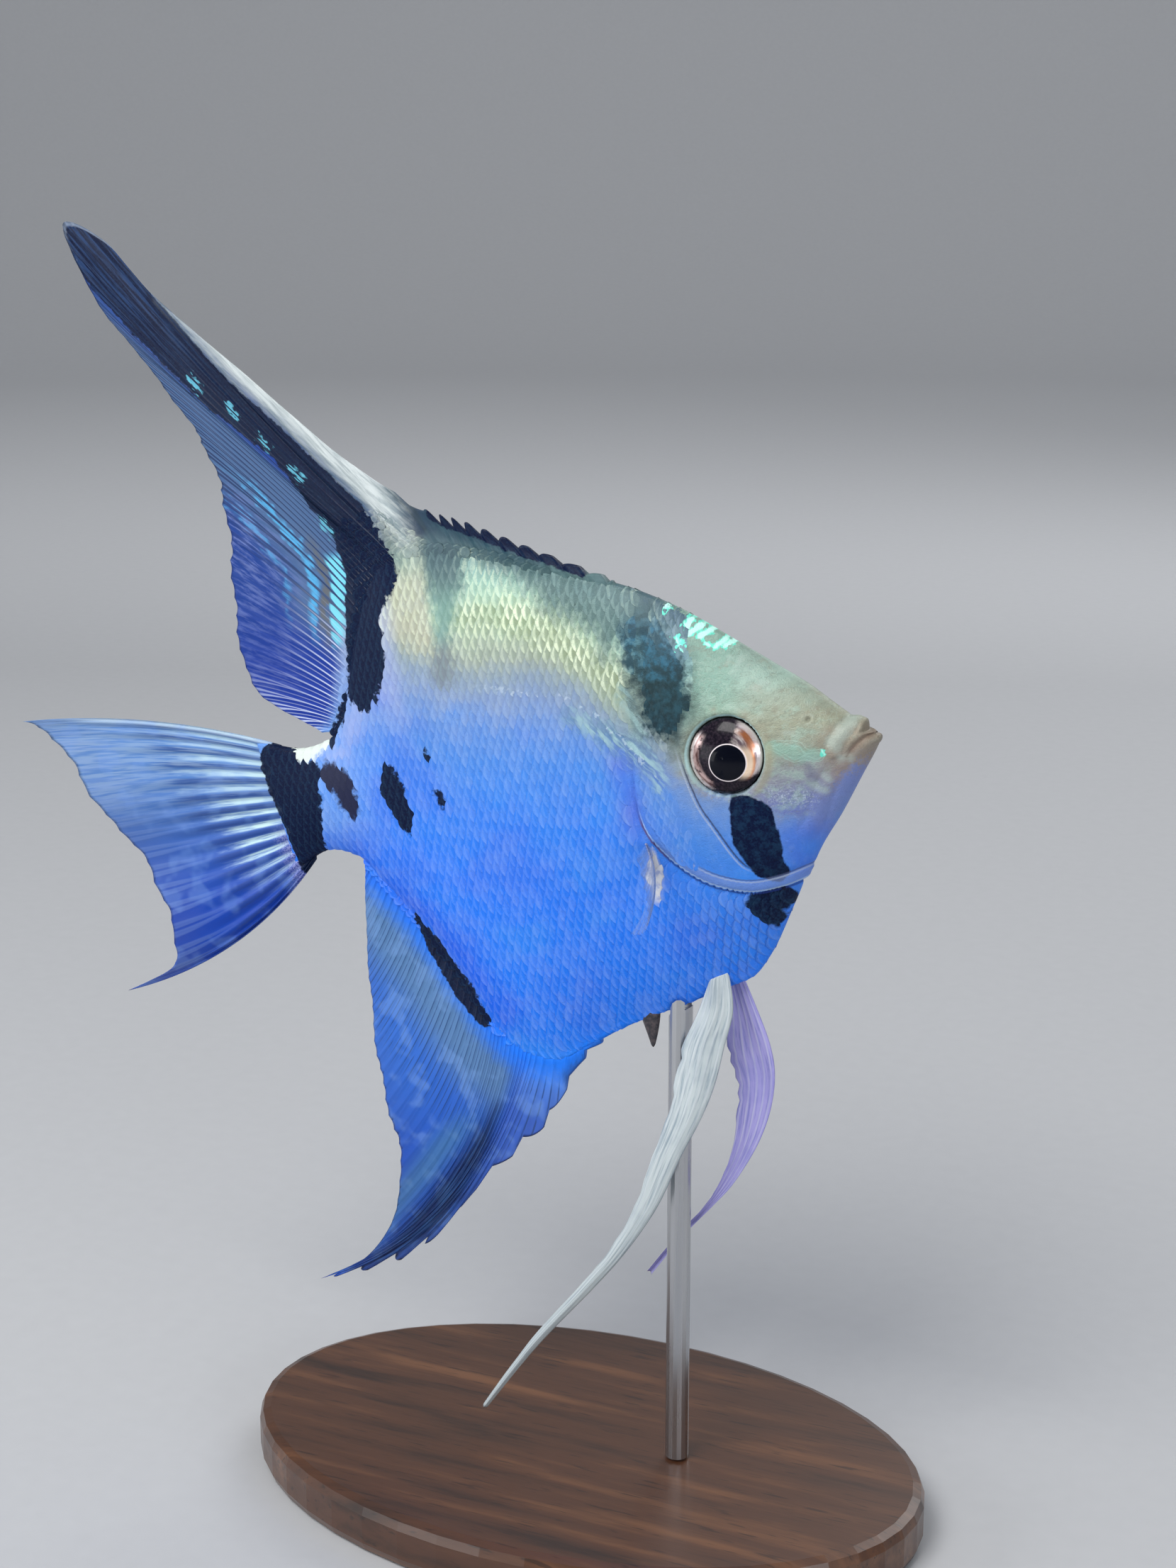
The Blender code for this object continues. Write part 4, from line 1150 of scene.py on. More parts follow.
class Shade:
    """A material, with one short call for each kind of node."""

    def __init__(self, name, **settings):
        self.material = bpy.data.materials.new(name)
        self.material.use_nodes = True
        self.tree = self.material.node_tree
        self.shader = self.tree.nodes["Principled BSDF"]
        for socket, value in settings.items():
            self.set(socket, value)

    def set(self, socket, value):
        self.put(self.shader.inputs[socket.replace("_", " ")], value)

    def put(self, socket, value):
        if isinstance(value, Field):
            self.tree.links.new(value.socket, socket)
        elif socket.type == "RGBA":
            socket.default_value = (*value, 1.0)
        else:
            socket.default_value = value

    def make(self, kind, values, **settings):
        made = self.tree.nodes.new("ShaderNode" + kind)
        for name, value in settings.items():
            setattr(made, name, value)
        for socket, value in values.items():
            self.put(made.inputs[socket], value)
        return made

    def node(self, kind, values, output=0, **settings):
        """One output of a new node."""
        return Field(self, self.make(kind, values, **settings).outputs[output])

    def math(self, operation, *values):
        return self.node("Math", dict(enumerate(values)), operation=operation)

    def vector(self, operation, *values):
        return self.node("VectorMath", dict(enumerate(values)), operation=operation)

    def length(self, vector):
        return self.node("VectorMath", {0: vector}, "Value", operation="LENGTH")

    def split(self, vector):
        return [Field(self, socket) for socket in self.make("SeparateXYZ", {0: vector}).outputs]

    def join(self, x, y, z):
        return self.node("CombineXYZ", {0: x, 1: y, 2: z})

    def ramp(self, value, stops, interpolation="EASE"):
        made = self.make("ValToRGB", {0: value})
        bar = made.color_ramp
        bar.interpolation = interpolation
        while len(bar.elements) < len(stops):
            bar.elements.new(0.5)
        for element, (place, colour) in zip(bar.elements, stops):
            element.position = place
            element.color = (*colour, 1.0)
        return Field(self, made.outputs[0])

    def noise(self, where, scale, detail=2, roughness=0.5):
        values = {"Vector": where, "Scale": scale, "Detail": detail, "Roughness": roughness}
        return self.node("TexNoise", values)

    def value(self, name):
        return self.node("Attribute", {}, "Fac", attribute_name=name)

    def place(self, name="place"):
        return self.node("Attribute", {}, "Vector", attribute_name=name)

    def object_place(self):
        return self.node("TexCoord", {}, "Object")

    def mark(self, name, ragged, amount, soft=0.12):
        """A mark's mask: its distance field, cut off at a ragged edge."""
        return (self.value("mark_" + name) + (ragged - 0.5) * amount).step(soft, -soft)

    def bump(self, height, strength, distance):
        return self.node("Bump", {"Height": height, "Strength": strength, "Distance": distance})


FLANK_TONES = (  # height over the blue's upper limit, and the colour there
    (-50, rgb(32, 128, 255)), (-30, rgb(40, 126, 250)), (-18, rgb(52, 130, 240)),
    (-9, rgb(74, 138, 226)), (-4, rgb(100, 144, 214)), (0, rgb(128, 152, 192)),
    (3, rgb(140, 158, 172)), (6, rgb(154, 166, 154)), (8.5, rgb(166, 182, 164)),
    (11.5, rgb(174, 200, 176)), (14.5, rgb(174, 208, 188)), (17.5, rgb(152, 190, 178)),
    (20.5, rgb(118, 148, 148)), (24, rgb(82, 106, 114)),
)
HEAD_TONES = (  # height over the body's axis, and the colour there
    (-9, rgb(112, 126, 188)), (-5, rgb(142, 146, 162)), (-1, rgb(152, 160, 146)), (3, rgb(158, 162, 142)),
    (6.5, rgb(158, 170, 154)), (10, rgb(156, 182, 170)), (14, rgb(144, 166, 156)), (20, rgb(136, 150, 144)),
)
BLACK = rgb(0, 14, 50)


def tones(shade, value, listed):
    """A colour read off a list of (value, colour)."""
    low, high = listed[0][0], listed[-1][0]
    place = shade.node("MapRange", {"Value": value, "From Min": low, "From Max": high}, "Result")
    return shade.ramp(place, [((at - low) / (high - low), colour) for at, colour in listed], "LINEAR")


def ground(shade, where, ragged, wide):
    """The fish's ground colour: silver above and blue below, and how silver it is."""
    back, up, _ = shade.split(where)
    unsettled = (wide - 0.5) * 5.0 + (ragged - 0.5) * 3.0
    over = shade.value("over") + unsettled
    colour = tones(shade, over, FLANK_TONES)
    colour = mix(shade.mark("gleam", ragged, 2.6, 2.2) * 0.6, colour, rgb(166, 184, 144))
    cream = back.step(64, 66.5) * over.step(4, 9) * up.step(36, 31, 0.3, 0.8)
    colour = mix(cream, colour, rgb(184, 182, 162))
    lilac = back.step(71, 74) * over.step(-14, -2)
    colour = mix(lilac * 0.55, colour, rgb(160, 172, 216))
    tail_stem = back.step(76, 90) * up.step(-10, -2)
    colour = mix(tail_stem * 0.5, colour, rgb(136, 176, 228))
    violet = back.band(34.5, 38.5, 2) * up.band(-9, 3, 4)
    colour = mix(violet * 0.6, colour, rgb(92, 104, 216))
    throat = back.band(9, 16, 2.5) * up.step(-9, -13) * up.step(-24, -18)
    colour = mix(throat * 0.45, colour, rgb(60, 92, 226))
    colour = mix(shade.mark("deep", ragged, 3, 3.2) * 0.7, colour, rgb(16, 92, 240))
    return colour, over


def body_marks(shade, colour, where, ragged, fine, light=None):
    """The markings over a ground colour, and the mask of the black ones. Scales and fins pass a mask of
    painted highlights.
    """
    back, up, _ = shade.split(where)
    grey = mix(up.step(32, 26), rgb(72, 94, 104), rgb(114, 154, 148))
    grey = mix(up.step(24, 20), grey, rgb(118, 128, 136))
    nape = mix(ragged.step(0.36, 0.66), rgb(16, 44, 56), rgb(30, 70, 86))
    upper = (up + (ragged - 0.5) * 6.0).step(11, 15)
    across = (back - up * 0.93) * 1.1
    streaks = shade.noise(shade.join(across, (back + up) * 0.14, 0.0), 1, 3, 0.6)
    blaze = mix(streaks.step(0.4, 0.62), rgb(214, 224, 222), rgb(142, 160, 168))
    teal = mix(ragged.step(0.4, 0.64), rgb(38, 72, 88), rgb(50, 106, 134))
    nape = mix(upper * 0.8, nape, teal)
    shadow = mix(back.step(42, 34), rgb(50, 78, 86), rgb(68, 94, 98))
    layers = (  # mark, colour, raggedness, softness and strength
        ("shade", shadow, 4.0, 2.4, 0.86), ("grey", grey, 4.4, 1.6, 0.8),
        ("nape", nape, 3.6, 3.0 if light is None else 1.2, 0.96),
        ("rose", rgb(166, 178, 224), 2.4, 1.8, 0.6), ("blaze", blaze, 2.0, 2.8, 0.9),
        ("plum", rgb(24, 18, 44), 1.6, 0.3, 0.96), ("white", rgb(224, 234, 226), 1.3, 0.3, 0.98),
    )
    dim = 0.0
    for mark, paint, amount, soft, strength in layers:
        mask = shade.mark(mark, ragged, amount, soft) * strength
        colour = mix(mask, colour, paint)
        if mark in ("shade", "grey"):
            dim = mask.most(dim)
    # Painted highlights over the shade and grey marks: the scales' crescents, or the streaks of the fins.
    if light is not None:
        colour = mix(light * dim * 0.16, colour, rgb(140, 180, 182))
    navy = shade.mark("navy", ragged, 0.7, 0.16)
    black = shade.mark("black", ragged, 1.4, 0.14).most(navy)
    before = (back - up * 0.8).step(44.5, 42)
    halo = shade.mark("black", ragged, 3.4, 3.4) * before * up.step(28, 33) * 0.85
    colour = mix(halo, colour, rgb(30, 68, 92))
    paint = mix(fine.step(0.44, 0.66, 0, 0.7), BLACK, rgb(12, 38, 70))
    paint = mix(navy * ragged.step(0.42, 0.66, 0, 0.5), paint, rgb(24, 58, 88))
    # Faint painted highlights over the black.
    if light is not None:
        paint = mix(light * 0.05, paint, rgb(84, 130, 160))
    return mix(black, colour, paint), black


def skin_material(name, scaly):
    """Silver and blue skin with its markings, for the skin itself or for the scales over it."""
    shade = Shade(name, Coat_Roughness=0.25, IOR=1.22)
    where = shade.place()
    back, up, _ = shade.split(where)
    ragged = shade.noise(where, 0.75, 3, 0.6)
    wide = shade.noise(where, 0.13, 2)
    fine = shade.noise(where, 3, 3, 0.65)
    colour, over = ground(shade, where, ragged, wide)
    silver = over.step(3, 9) * back.step(27, 31)
    mottle = shade.noise(shade.vector("MULTIPLY", where, (1.3, 0.8, 1.0)), 0.9, 4, 0.65)
    colour = mix(mottle.step(0.48, 0.72, 0, 0.08), colour, rgb(190, 214, 236))
    colour = mix(mottle.step(0.48, 0.26, 0, 0.1), colour, rgb(40, 84, 190))
    cloud = shade.noise(shade.vector("MULTIPLY", where, (1.0, 1.4, 1.0)), 0.07, 2)
    blue = over.step(2, -6)
    colour = mix(cloud.step(0.52, 0.7) * blue * 0.2, colour, rgb(76, 96, 224))
    colour = mix(cloud.step(0.48, 0.32) * blue * 0.35, colour, rgb(58, 148, 246))
    light = None

    if scaly:
        s, _, chance = shade.split(shade.place("scale"))
        patchy = shade.noise(where, 0.3, 3, 0.6)
        # Painted light on each scale: a highlight crescent at its rear edge, and painted shade on its front,
        # where it tucks under the scale ahead.
        light = s.step(0.72, 0.81) * s.step(1, 0.95) * fine.step(0.26, 0.46, 0.4, 1)
        gleam = shade.mark("gleam", ragged, 3, 2.4)
        # Painted highlight crescents, strongest on the silver of the back.
        crescent_highlight = light * silver * patchy.step(0.36, 0.56, 0.35, 1) * gleam.step(0, 1, 0.4, 1)
        dark = s.step(0.8, 0.64)
        colour = mix(crescent_highlight * 0.92, colour, rgb(232, 244, 212))
        colour = mix(dark * silver * gleam.step(0, 1, 0.16, 0.4), colour, rgb(112, 124, 92))
        # Fainter painted highlights and painted shade on the blue scales.
        colour = mix(light * (1 - silver) * 0.1, colour, rgb(176, 204, 244))
        colour = mix(dark * (1 - silver) * 0.06, colour, rgb(34, 76, 178))
        colour = mix(chance.step(0.3, 1, 0, 0.06), colour, rgb(226, 236, 246))
        breast = back.step(34, 27) * up.step(-20, -24) * s.step(0.72, 0.95)
        colour = mix(breast * 0.26, colour, rgb(30, 50, 130))
    else:
        above = (over + (fine - 0.5) * 3.0).step(-1.2, 1.2)
        brow = (back + (ragged - 0.5) * 6.0).step(30, 24.5)
        head = tones(shade, up, HEAD_TONES)
        blotch = shade.noise(shade.vector("MULTIPLY", where, (1.0, 1.3, 1.0)), 0.32, 5, 0.62)
        minty = back.step(16, 20) * up.step(3, 7) * 0.5
        head = mix(minty, head, rgb(128, 172, 156))
        head = mix(blotch.step(0.5, 0.66, 0, 0.5), head, rgb(166, 194, 180))
        head = mix(blotch.step(0.47, 0.3, 0, 0.5), head, rgb(146, 140, 122))
        folds = shade.noise(shade.vector("MULTIPLY", where, (1.0, 2.0, 1.0)), 0.42, 3, 0.55)
        head = mix(folds.band(0.56, 0.585, 0.03) * 0.35, head, rgb(186, 202, 190))
        head = mix(folds.band(0.39, 0.415, 0.03) * 0.4, head, rgb(118, 120, 108))
        muzzle = back.step(9, 5) * up.step(2.6, 0.8) * 0.55
        head = mix(muzzle, head, rgb(150, 128, 112))
        chin = back.step(14, 9) * over.step(-7, -1) * 0.6
        colour = mix(chin, colour, rgb(122, 130, 192))
        colour = mix(brow * above, colour, head)
    colour = mix(fine.step(0.46, 0.22, 0, 0.25), colour, rgb(60, 84, 110))

    cover = shade.mark("cover", ragged, 3.5, 1.8)
    across = (back - up * 0.8) * 0.62
    net = shade.noise(shade.join(across, (up + back * 0.8) * 0.12, 0.0), 0.9, 3, 0.55)
    vein = net.step(0.5, 0.62).most(net.band(0.37, 0.41, 0.03) * 0.6)
    veil = mix(up.step(-3, 6), rgb(84, 122, 190), rgb(96, 134, 152))
    colour = mix(cover * 0.6, colour, veil)
    colour = mix(cover * vein * 0.7, colour, rgb(172, 208, 208))
    lobe = shade.mark("lobe", ragged, 0.8, 0.45)
    pale = mix(ragged.step(0.36, 0.52), rgb(172, 182, 214), rgb(224, 224, 224))
    colour = mix(lobe * 0.9, colour, pale)
    colour, black = body_marks(shade, colour, where, ragged, fine, light)
    flecks = shade.noise(where, 1.6, 1)
    # Painted shadow behind the corner of the mouth.
    colour = mix(shade.mark("mouth_corner_shadow", ragged, 1.4, 0.7) * 0.5, colour, rgb(104, 106, 134))
    colour = mix(shade.mark("leaf", ragged, 2.2, 0.6) * 0.45, colour, rgb(140, 196, 180))
    veins = shade.value("mark_leaf") + (shade.noise(where, 0.45, 0) - 0.5) * 3.0
    veins = veins.band(-0.1, 0.02, 0.12).most(veins.band(-0.7, -0.6, 0.1))
    colour = mix(veins * 0.35, colour, rgb(184, 226, 214))
    # Painted highlights along the upper jaw, and pale patches and wisps on the jaw and head.
    colour = mix(shade.mark("jaw", ragged, 1.4, 0.7) * 0.5, colour, rgb(186, 206, 198))
    speckles = shade.mark("speckle", ragged, 1.5, 1) * fine.step(0.52, 0.64)
    colour = mix(speckles * 0.55, colour, rgb(196, 208, 226))
    core = (shade.value("mark_mint") + (ragged - 0.5) * 0.8).step(0, -0.3)
    flakes = mix(core, rgb(110, 226, 202), rgb(196, 250, 238))
    colour = mix(shade.mark("mint", flecks, 1.5, 0.1), colour, flakes)

    lateral = shade.value("lateral")
    dashes = lateral.step(0.3, 0.14) * flecks.step(0.5, 0.58)
    colour = mix(dashes * back.step(62, 52) * 0.35, colour, rgb(210, 226, 240))

    if not scaly:
        colour = head_lines(shade, colour, back, up)
    shade.set("Base Color", colour)
    shade.set("Metallic", over.step(-6, 10, 0.04, 0.22) * (1 - black))
    shade.set("Roughness", fine.step(0.3, 0.7, 0.36, 0.5))
    shade.set("Coat Weight", (1 - black) * 0.12)
    grain = shade.noise(where, 5.5, 2, 0.6)
    pores = grain + ragged * 1.6
    shade.set("Normal", shade.bump(grain, 0.2, 0.00012) if scaly else shade.bump(pores, 0.5, 0.00016))
    return shade.material


def head_lines(shade, colour, back, up):
    """Lines along the folds of the head: gill slit, cheek edge, mouth, nostril and the rim of the eye, among
    them painted shade in the grooves and painted highlights on the rims.
    """
    gill = shade.value("gill")
    lower = up.step(-5, -9)
    flap = gill.band(-2, -0.3, 0.25) * up.step(-8, -14)
    colour = mix(flap * 0.55, colour, rgb(128, 150, 206))
    low = up.step(-14, -17)
    inner = gill.band(-2.15, -1.95, 0.1) * low
    colour = mix(inner * 0.6, colour, rgb(74, 80, 112))
    # A painted highlight along the flap, beside its dark inner line.
    pale = gill.band(-1.85, -1.65, 0.12) * low
    colour = mix(pale * 0.5, colour, rgb(190, 200, 214))
    # Painted highlight along the rim of the gill cover, and painted shade in the gill slit, dark red where
    # the gills show.
    edge = gill.band(-0.42, -0.12, 0.12) * lower
    colour = mix(edge * 0.75, colour, rgb(180, 206, 236))
    slit = gill.band(-0.02, 0.3, 0.1) * lower
    red = up.step(-14.5, -12.5) * up.step(-6, -8)
    colour = mix(slit * 0.7, colour, mix(red, rgb(40, 62, 140), rgb(112, 66, 72)))
    cheek = shade.value("cheek_edge")
    held = up.step(3, -2) * up.step(-18, -16) * back.step(19.5, 21)
    colour = mix(cheek.band(-0.08, 0.2, 0.12) * held * 0.8, colour, rgb(52, 56, 84))
    colour = mix(cheek.band(0.4, 0.62, 0.12) * held * 0.6, colour, rgb(178, 190, 210))
    mouth = shade.value("mouth")
    # A brown painted soft shadow along the gape, and darker painted shade in the gape itself.
    colour = mix(mouth.step(0.9, 0.1) * back.step(5, 3) * 0.5, colour, rgb(122, 98, 84))
    colour = mix(mouth.step(0.2, 0.05) * 0.3, colour, rgb(82, 64, 58))
    nostril = shade.value("nostril")
    # A painted highlight on the nostril's upper rim, and painted shade in its pit.
    nostril_rim_highlight = nostril.band(0.55, 0.8, 0.2) * up.step(2.9, 3.6) * 0.3
    colour = mix(nostril_rim_highlight, colour, rgb(190, 196, 180))
    colour = mix(nostril.step(0.5, 0.2) * 0.45, colour, rgb(92, 92, 80))
    gap = shade.value("eye_gap") - EYE_RADIUS
    orbit = gap.band(0.14, 0.46, 0.12) * up.step(-4.5, 1, 0.3, 0.9)
    colour = mix(orbit, colour, rgb(176, 212, 212))
    fold = gap.band(0.5, 1.6, 0.5) * back.step(18.5, 16.5) * up.step(2.5, 0)
    colour = mix(fold * 0.5, colour, rgb(176, 170, 138))
    return mix(gap.step(0.1, 0), colour, rgb(30, 36, 42))


def eye_material():
    shade = Shade("angelfish_eye", Roughness=0.2, Coat_Weight=0.16, Coat_Roughness=0.05, IOR=1.2)
    where = shade.place("iris")
    x, y, _ = shade.split(where)
    radius = shade.length(where)
    offset = tuple(value / EYE_RADIUS for value in PUPIL_PLACE)
    pupil = shade.length(shade.vector("SUBTRACT", where, (*offset, 0.0)))
    edge = PUPIL_RADIUS / EYE_RADIUS
    fine = shade.noise(where, 4.5, 4, 0.65)
    flecks = shade.noise(where, 13, 3, 0.6)
    arcs = shade.noise(shade.join(radius * 9.0, shade.math("ARCTAN2", y, x) * 1.3, 0.0), 1, 4, 0.6)
    wobble = (fine - 0.5) * 0.5
    colour = mix(flecks.step(0.42, 0.62), rgb(20, 17, 27), rgb(44, 36, 46))

    rear = (x + wobble).step(0.34, 0.56) * (y + wobble * 0.6).step(-0.86, -0.66)
    rear = rear * (y + wobble).step(0.74, 0.56) * (radius + wobble * 0.3).step(0.62, 0.76)
    copper = mix(arcs.step(0.36, 0.6), rgb(96, 62, 58), rgb(206, 178, 174))
    copper = mix(fine.step(0.46, 0.34), copper, rgb(44, 32, 38))
    copper = mix(radius.step(0.8, 0.9) * fine.step(0.4, 0.55) * 0.9, copper, rgb(244, 224, 218))
    colour = mix(rear, colour, copper)

    front = (x + (y * 0.3 + wobble)).step(-0.12, -0.4) * (y + wobble).step(-0.62, -0.42)
    lavender = mix(arcs.step(0.36, 0.6), rgb(120, 104, 112), rgb(224, 212, 208))
    gold = radius.band(0.72, 0.92, 0.06) * y.step(-0.02, 0.18) * y.step(0.72, 0.5)
    lavender = mix(gold * fine.step(0.36, 0.5) * 0.7, lavender, rgb(196, 112, 40))
    colour = mix(front, colour, lavender)
    halo = pupil.band(edge, edge + 0.22, 0.04) * x.step(-0.24, -0.5)
    halo = halo * y.step(0.3, 0.02) * y.step(-0.72, -0.46)
    peach = mix(pupil.step(edge + 0.13, edge + 0.22), rgb(255, 228, 200), rgb(236, 156, 100))
    colour = mix(halo, colour, peach)
    outer = radius.band(0.86, 0.93, 0.02) * rear.most(front)
    colour = mix(outer * 0.5, colour, rgb(226, 216, 218))
    colour = mix(radius.step(0.965, 0.985), colour, rgb(36, 34, 40))
    ring = pupil.step(edge + 0.036, edge + 0.02)
    colour = mix(ring * fine.step(0.2, 0.4, 0.6, 1), colour, rgb(232, 222, 224))
    colour = mix(pupil.step(edge + 0.01, edge - 0.008), colour, rgb(5, 8, 20))
    shade.set("Base Color", colour)
    bright = rear.most(front) * pupil.step(edge + 0.02, edge + 0.06)
    shade.set("Metallic", bright * 0.45)
    shade.set("Normal", shade.bump(flecks, 0.1, 0.00005))
    return shade.material


class FinShade(Shade):
    """A fin's material, with the fields that its web is drawn from."""

    def __init__(self, name, **settings):
        super().__init__(name, Roughness=0.36, Coat_Weight=0.1, Coat_Roughness=0.2, IOR=1.26, **settings)
        self.where = self.place()
        self.back, self.up, _ = self.split(self.where)
        self.phase, self.out, self.crest = self.split(self.place("ray"))
        self.fan, self.rise, self.margin = self.split(self.place("fan"))
        self.ragged = self.noise(self.where, 0.75, 3, 0.6)
        self.fine = self.noise(self.where, 3, 3, 0.65)
        stretched = self.join(self.phase * 1.5, self.out * 3.0, 0.0)
        self.along = self.noise(stretched, 2.2, 4, 0.6)

    def paint(self, colour):
        self.painted = colour
        self.set("Base Color", colour)

    def finish(self, colour, alpha, blend=3.4):
        """Joins the fin's web to the body's colour at its root, and adds the markings."""
        wide = self.noise(self.where, 0.13, 2)
        flank, _ = ground(self, self.where, self.ragged, wide)
        root = (self.rise + (self.ragged - 0.5) * 3.0).step(blend, 0.4)
        colour = mix(root, colour, flank)
        # Streaks along the rays, which body_marks paints as highlights.
        light = self.along.step(0.44, 0.66)
        colour, black = body_marks(self, colour, self.where, self.ragged, self.fine, light)
        blaze = self.mark("blaze", self.along, 1.6, 0.5) * self.back.step(67, 73)
        blaze = blaze * self.value("mark_black").step(0.2, 3, 0.1, 1)
        white = self.mark("white", self.ragged, 1.3, 0.3).most(blaze)
        streaked = mix(self.along.step(0.58, 0.36, 0, 0.5), rgb(222, 230, 230), rgb(128, 146, 150))
        colour = mix(white, colour, streaked)
        solid = root.most(black).most(white.most(alpha))
        self.paint(colour)
        self.set("Alpha", solid.least(1.0))
        self.set("Normal", self.bump(self.along, 0.2, 0.00015))


def dorsal_material():
    shade = FinShade("dorsal_fin_web")
    fan, rise, phase, up = shade.fan, shade.rise, shade.phase, shade.up
    off = shade.value("mark_black")
    web = fan.step(0.5, 0.56) * fan.step(0.86, 0.8)
    colour = mix(up.step(12, 40), rgb(6, 52, 160), rgb(20, 66, 154))
    colour = mix(web * off.step(14, 6) * 0.85, colour, rgb(88, 120, 160))
    veil = shade.along.step(0.44, 0.64) * off.step(5, 11) * up.step(24, 44, 0.2, 0.6)
    colour = mix(veil, colour, rgb(140, 158, 220))

    chance = shade.noise(shade.join(shade.math("FLOOR", phase), rise * 0.3, 2.0), 1.9, 1)
    cell = shade.crest.step(0.6, 0.2)
    wander = off + (chance - 0.5) * 3.4
    bulge = shade.math("ABSOLUTE", off - 1.3) * 0.5
    near = (bulge + shade.crest * 1.3).step(0.9, 0.6) * up.step(22.5, 24.5) * up.step(38.5, 36.5)
    rows = wander.band(5.2, 6.6, 0.5) * up.step(22, 26) + wander.band(9.8, 10.8, 0.6) * 0.6
    rows = rows * cell * shade.along.step(0.34, 0.5, 0.25, 1) * up.step(56, 46)
    dash = near.most(rows.least(1.0)) * web
    brown = wander.band(2.9, 4.4, 0.6) * web * cell * up.step(44, 36) * 0.75
    colour = mix(brown, colour, rgb(112, 110, 100))
    colour = mix(dash, colour, mix(near, rgb(88, 176, 228), rgb(126, 220, 238)))

    crest = shade.crest.step(0.35, 0.8)
    lines = crest * fan.step(0.86, 0.78) * off.step(16, 6, 0.25, 0.8)
    colour = mix(lines, colour, rgb(24, 38, 80))
    between = shade.math("ABSOLUTE", shade.math("SINE", phase * math.pi)).step(0.24, 0.06)
    thin = shade.crest.step(0.55, 0.95).most(between * 0.6)
    pale = thin * fan.step(0.76, 0.84) * rise.step(15, 1)
    colour = mix(pale, colour, rgb(210, 220, 246))
    spiny = fan.step(0.34, 0.24)
    colour = mix(spiny * 0.9, colour, rgb(56, 70, 78))
    solid = pale.most(spiny).most(dash.most(lines))
    alpha = solid * 0.2 + off.step(16, 3, 0.83, 0.87)
    shade.finish(colour, alpha.least(0.98))

    tip = up.step(64, 84) * shade.along.step(0.46, 0.62) * 0.5
    painted = mix(tip, shade.painted, rgb(44, 76, 128))
    rim = shade.margin.step(0.014, 0.006) * up.step(80, 83) * fan.step(0.5, 0.46) * 0.6
    painted = mix(rim, painted, rgb(160, 176, 200))
    glint = shade.noise(shade.join(phase * 1.6, rise * 0.7, 4.0), 1, 2)
    flash = shade.mark("flash", glint, 3.4, 0.3) * cell * 0.9
    shade.paint(mix(flash, painted, rgb(104, 190, 216)))
    return shade.material


def anal_material():
    shade = FinShade("anal_fin_web")
    fan, rise, up = shade.fan, shade.rise, shade.up
    front = fan.step(0.36, 0.28)
    colour = mix(up.step(-36, -70), rgb(56, 114, 212), rgb(14, 72, 182))
    green = rise.band(1.5, 12, 4) * fan.step(0.3, 0.4) * up.step(-10, -20)
    green = green * up.step(-66, -50)
    colour = mix(green * 0.75, colour, rgb(100, 138, 172))
    colour = mix(front, colour, mix(rise.step(2, 12), rgb(86, 136, 226), rgb(60, 100, 196)))
    finer = shade.math("ABSOLUTE", shade.math("SINE", shade.phase * (2 * math.pi)))
    lines = finer.step(0.45, 0.12) * rise.band(1.5, 20, 3) * 0.75
    colour = mix(lines * shade.along.step(0.36, 0.5), colour, rgb(38, 66, 116))
    patches = shade.noise(shade.where, 0.22, 2)
    colour = mix(patches.step(0.5, 0.66, 0, 0.3), colour, rgb(128, 170, 230))
    glow = shade.value("mark_teal").band(0.8, 5, 2) * up.step(-50, -58) * fan.step(0.34, 0.42)
    colour = mix(glow * 0.6, colour, rgb(74, 124, 158))
    teal = shade.mark("teal", shade.along, 2.4, 1.8)
    dark = mix(shade.along.step(0.42, 0.62), rgb(4, 18, 56), rgb(30, 66, 112))
    colour = mix(teal * 0.92, colour, dark)
    rim = shade.margin.step(0.03, 0.01) * front * 0.6
    colour = mix(rim, colour, rgb(22, 50, 112))
    thin = shade.margin.step(0, 0.3, 0.84, 0.94)
    shade.finish(colour, thin.most(teal * 0.96), 6.0)
    keel = teal * shade.back.step(66, 62) * 0.8
    shade.paint(mix(keel, shade.painted, rgb(24, 46, 92)))
    return shade.material


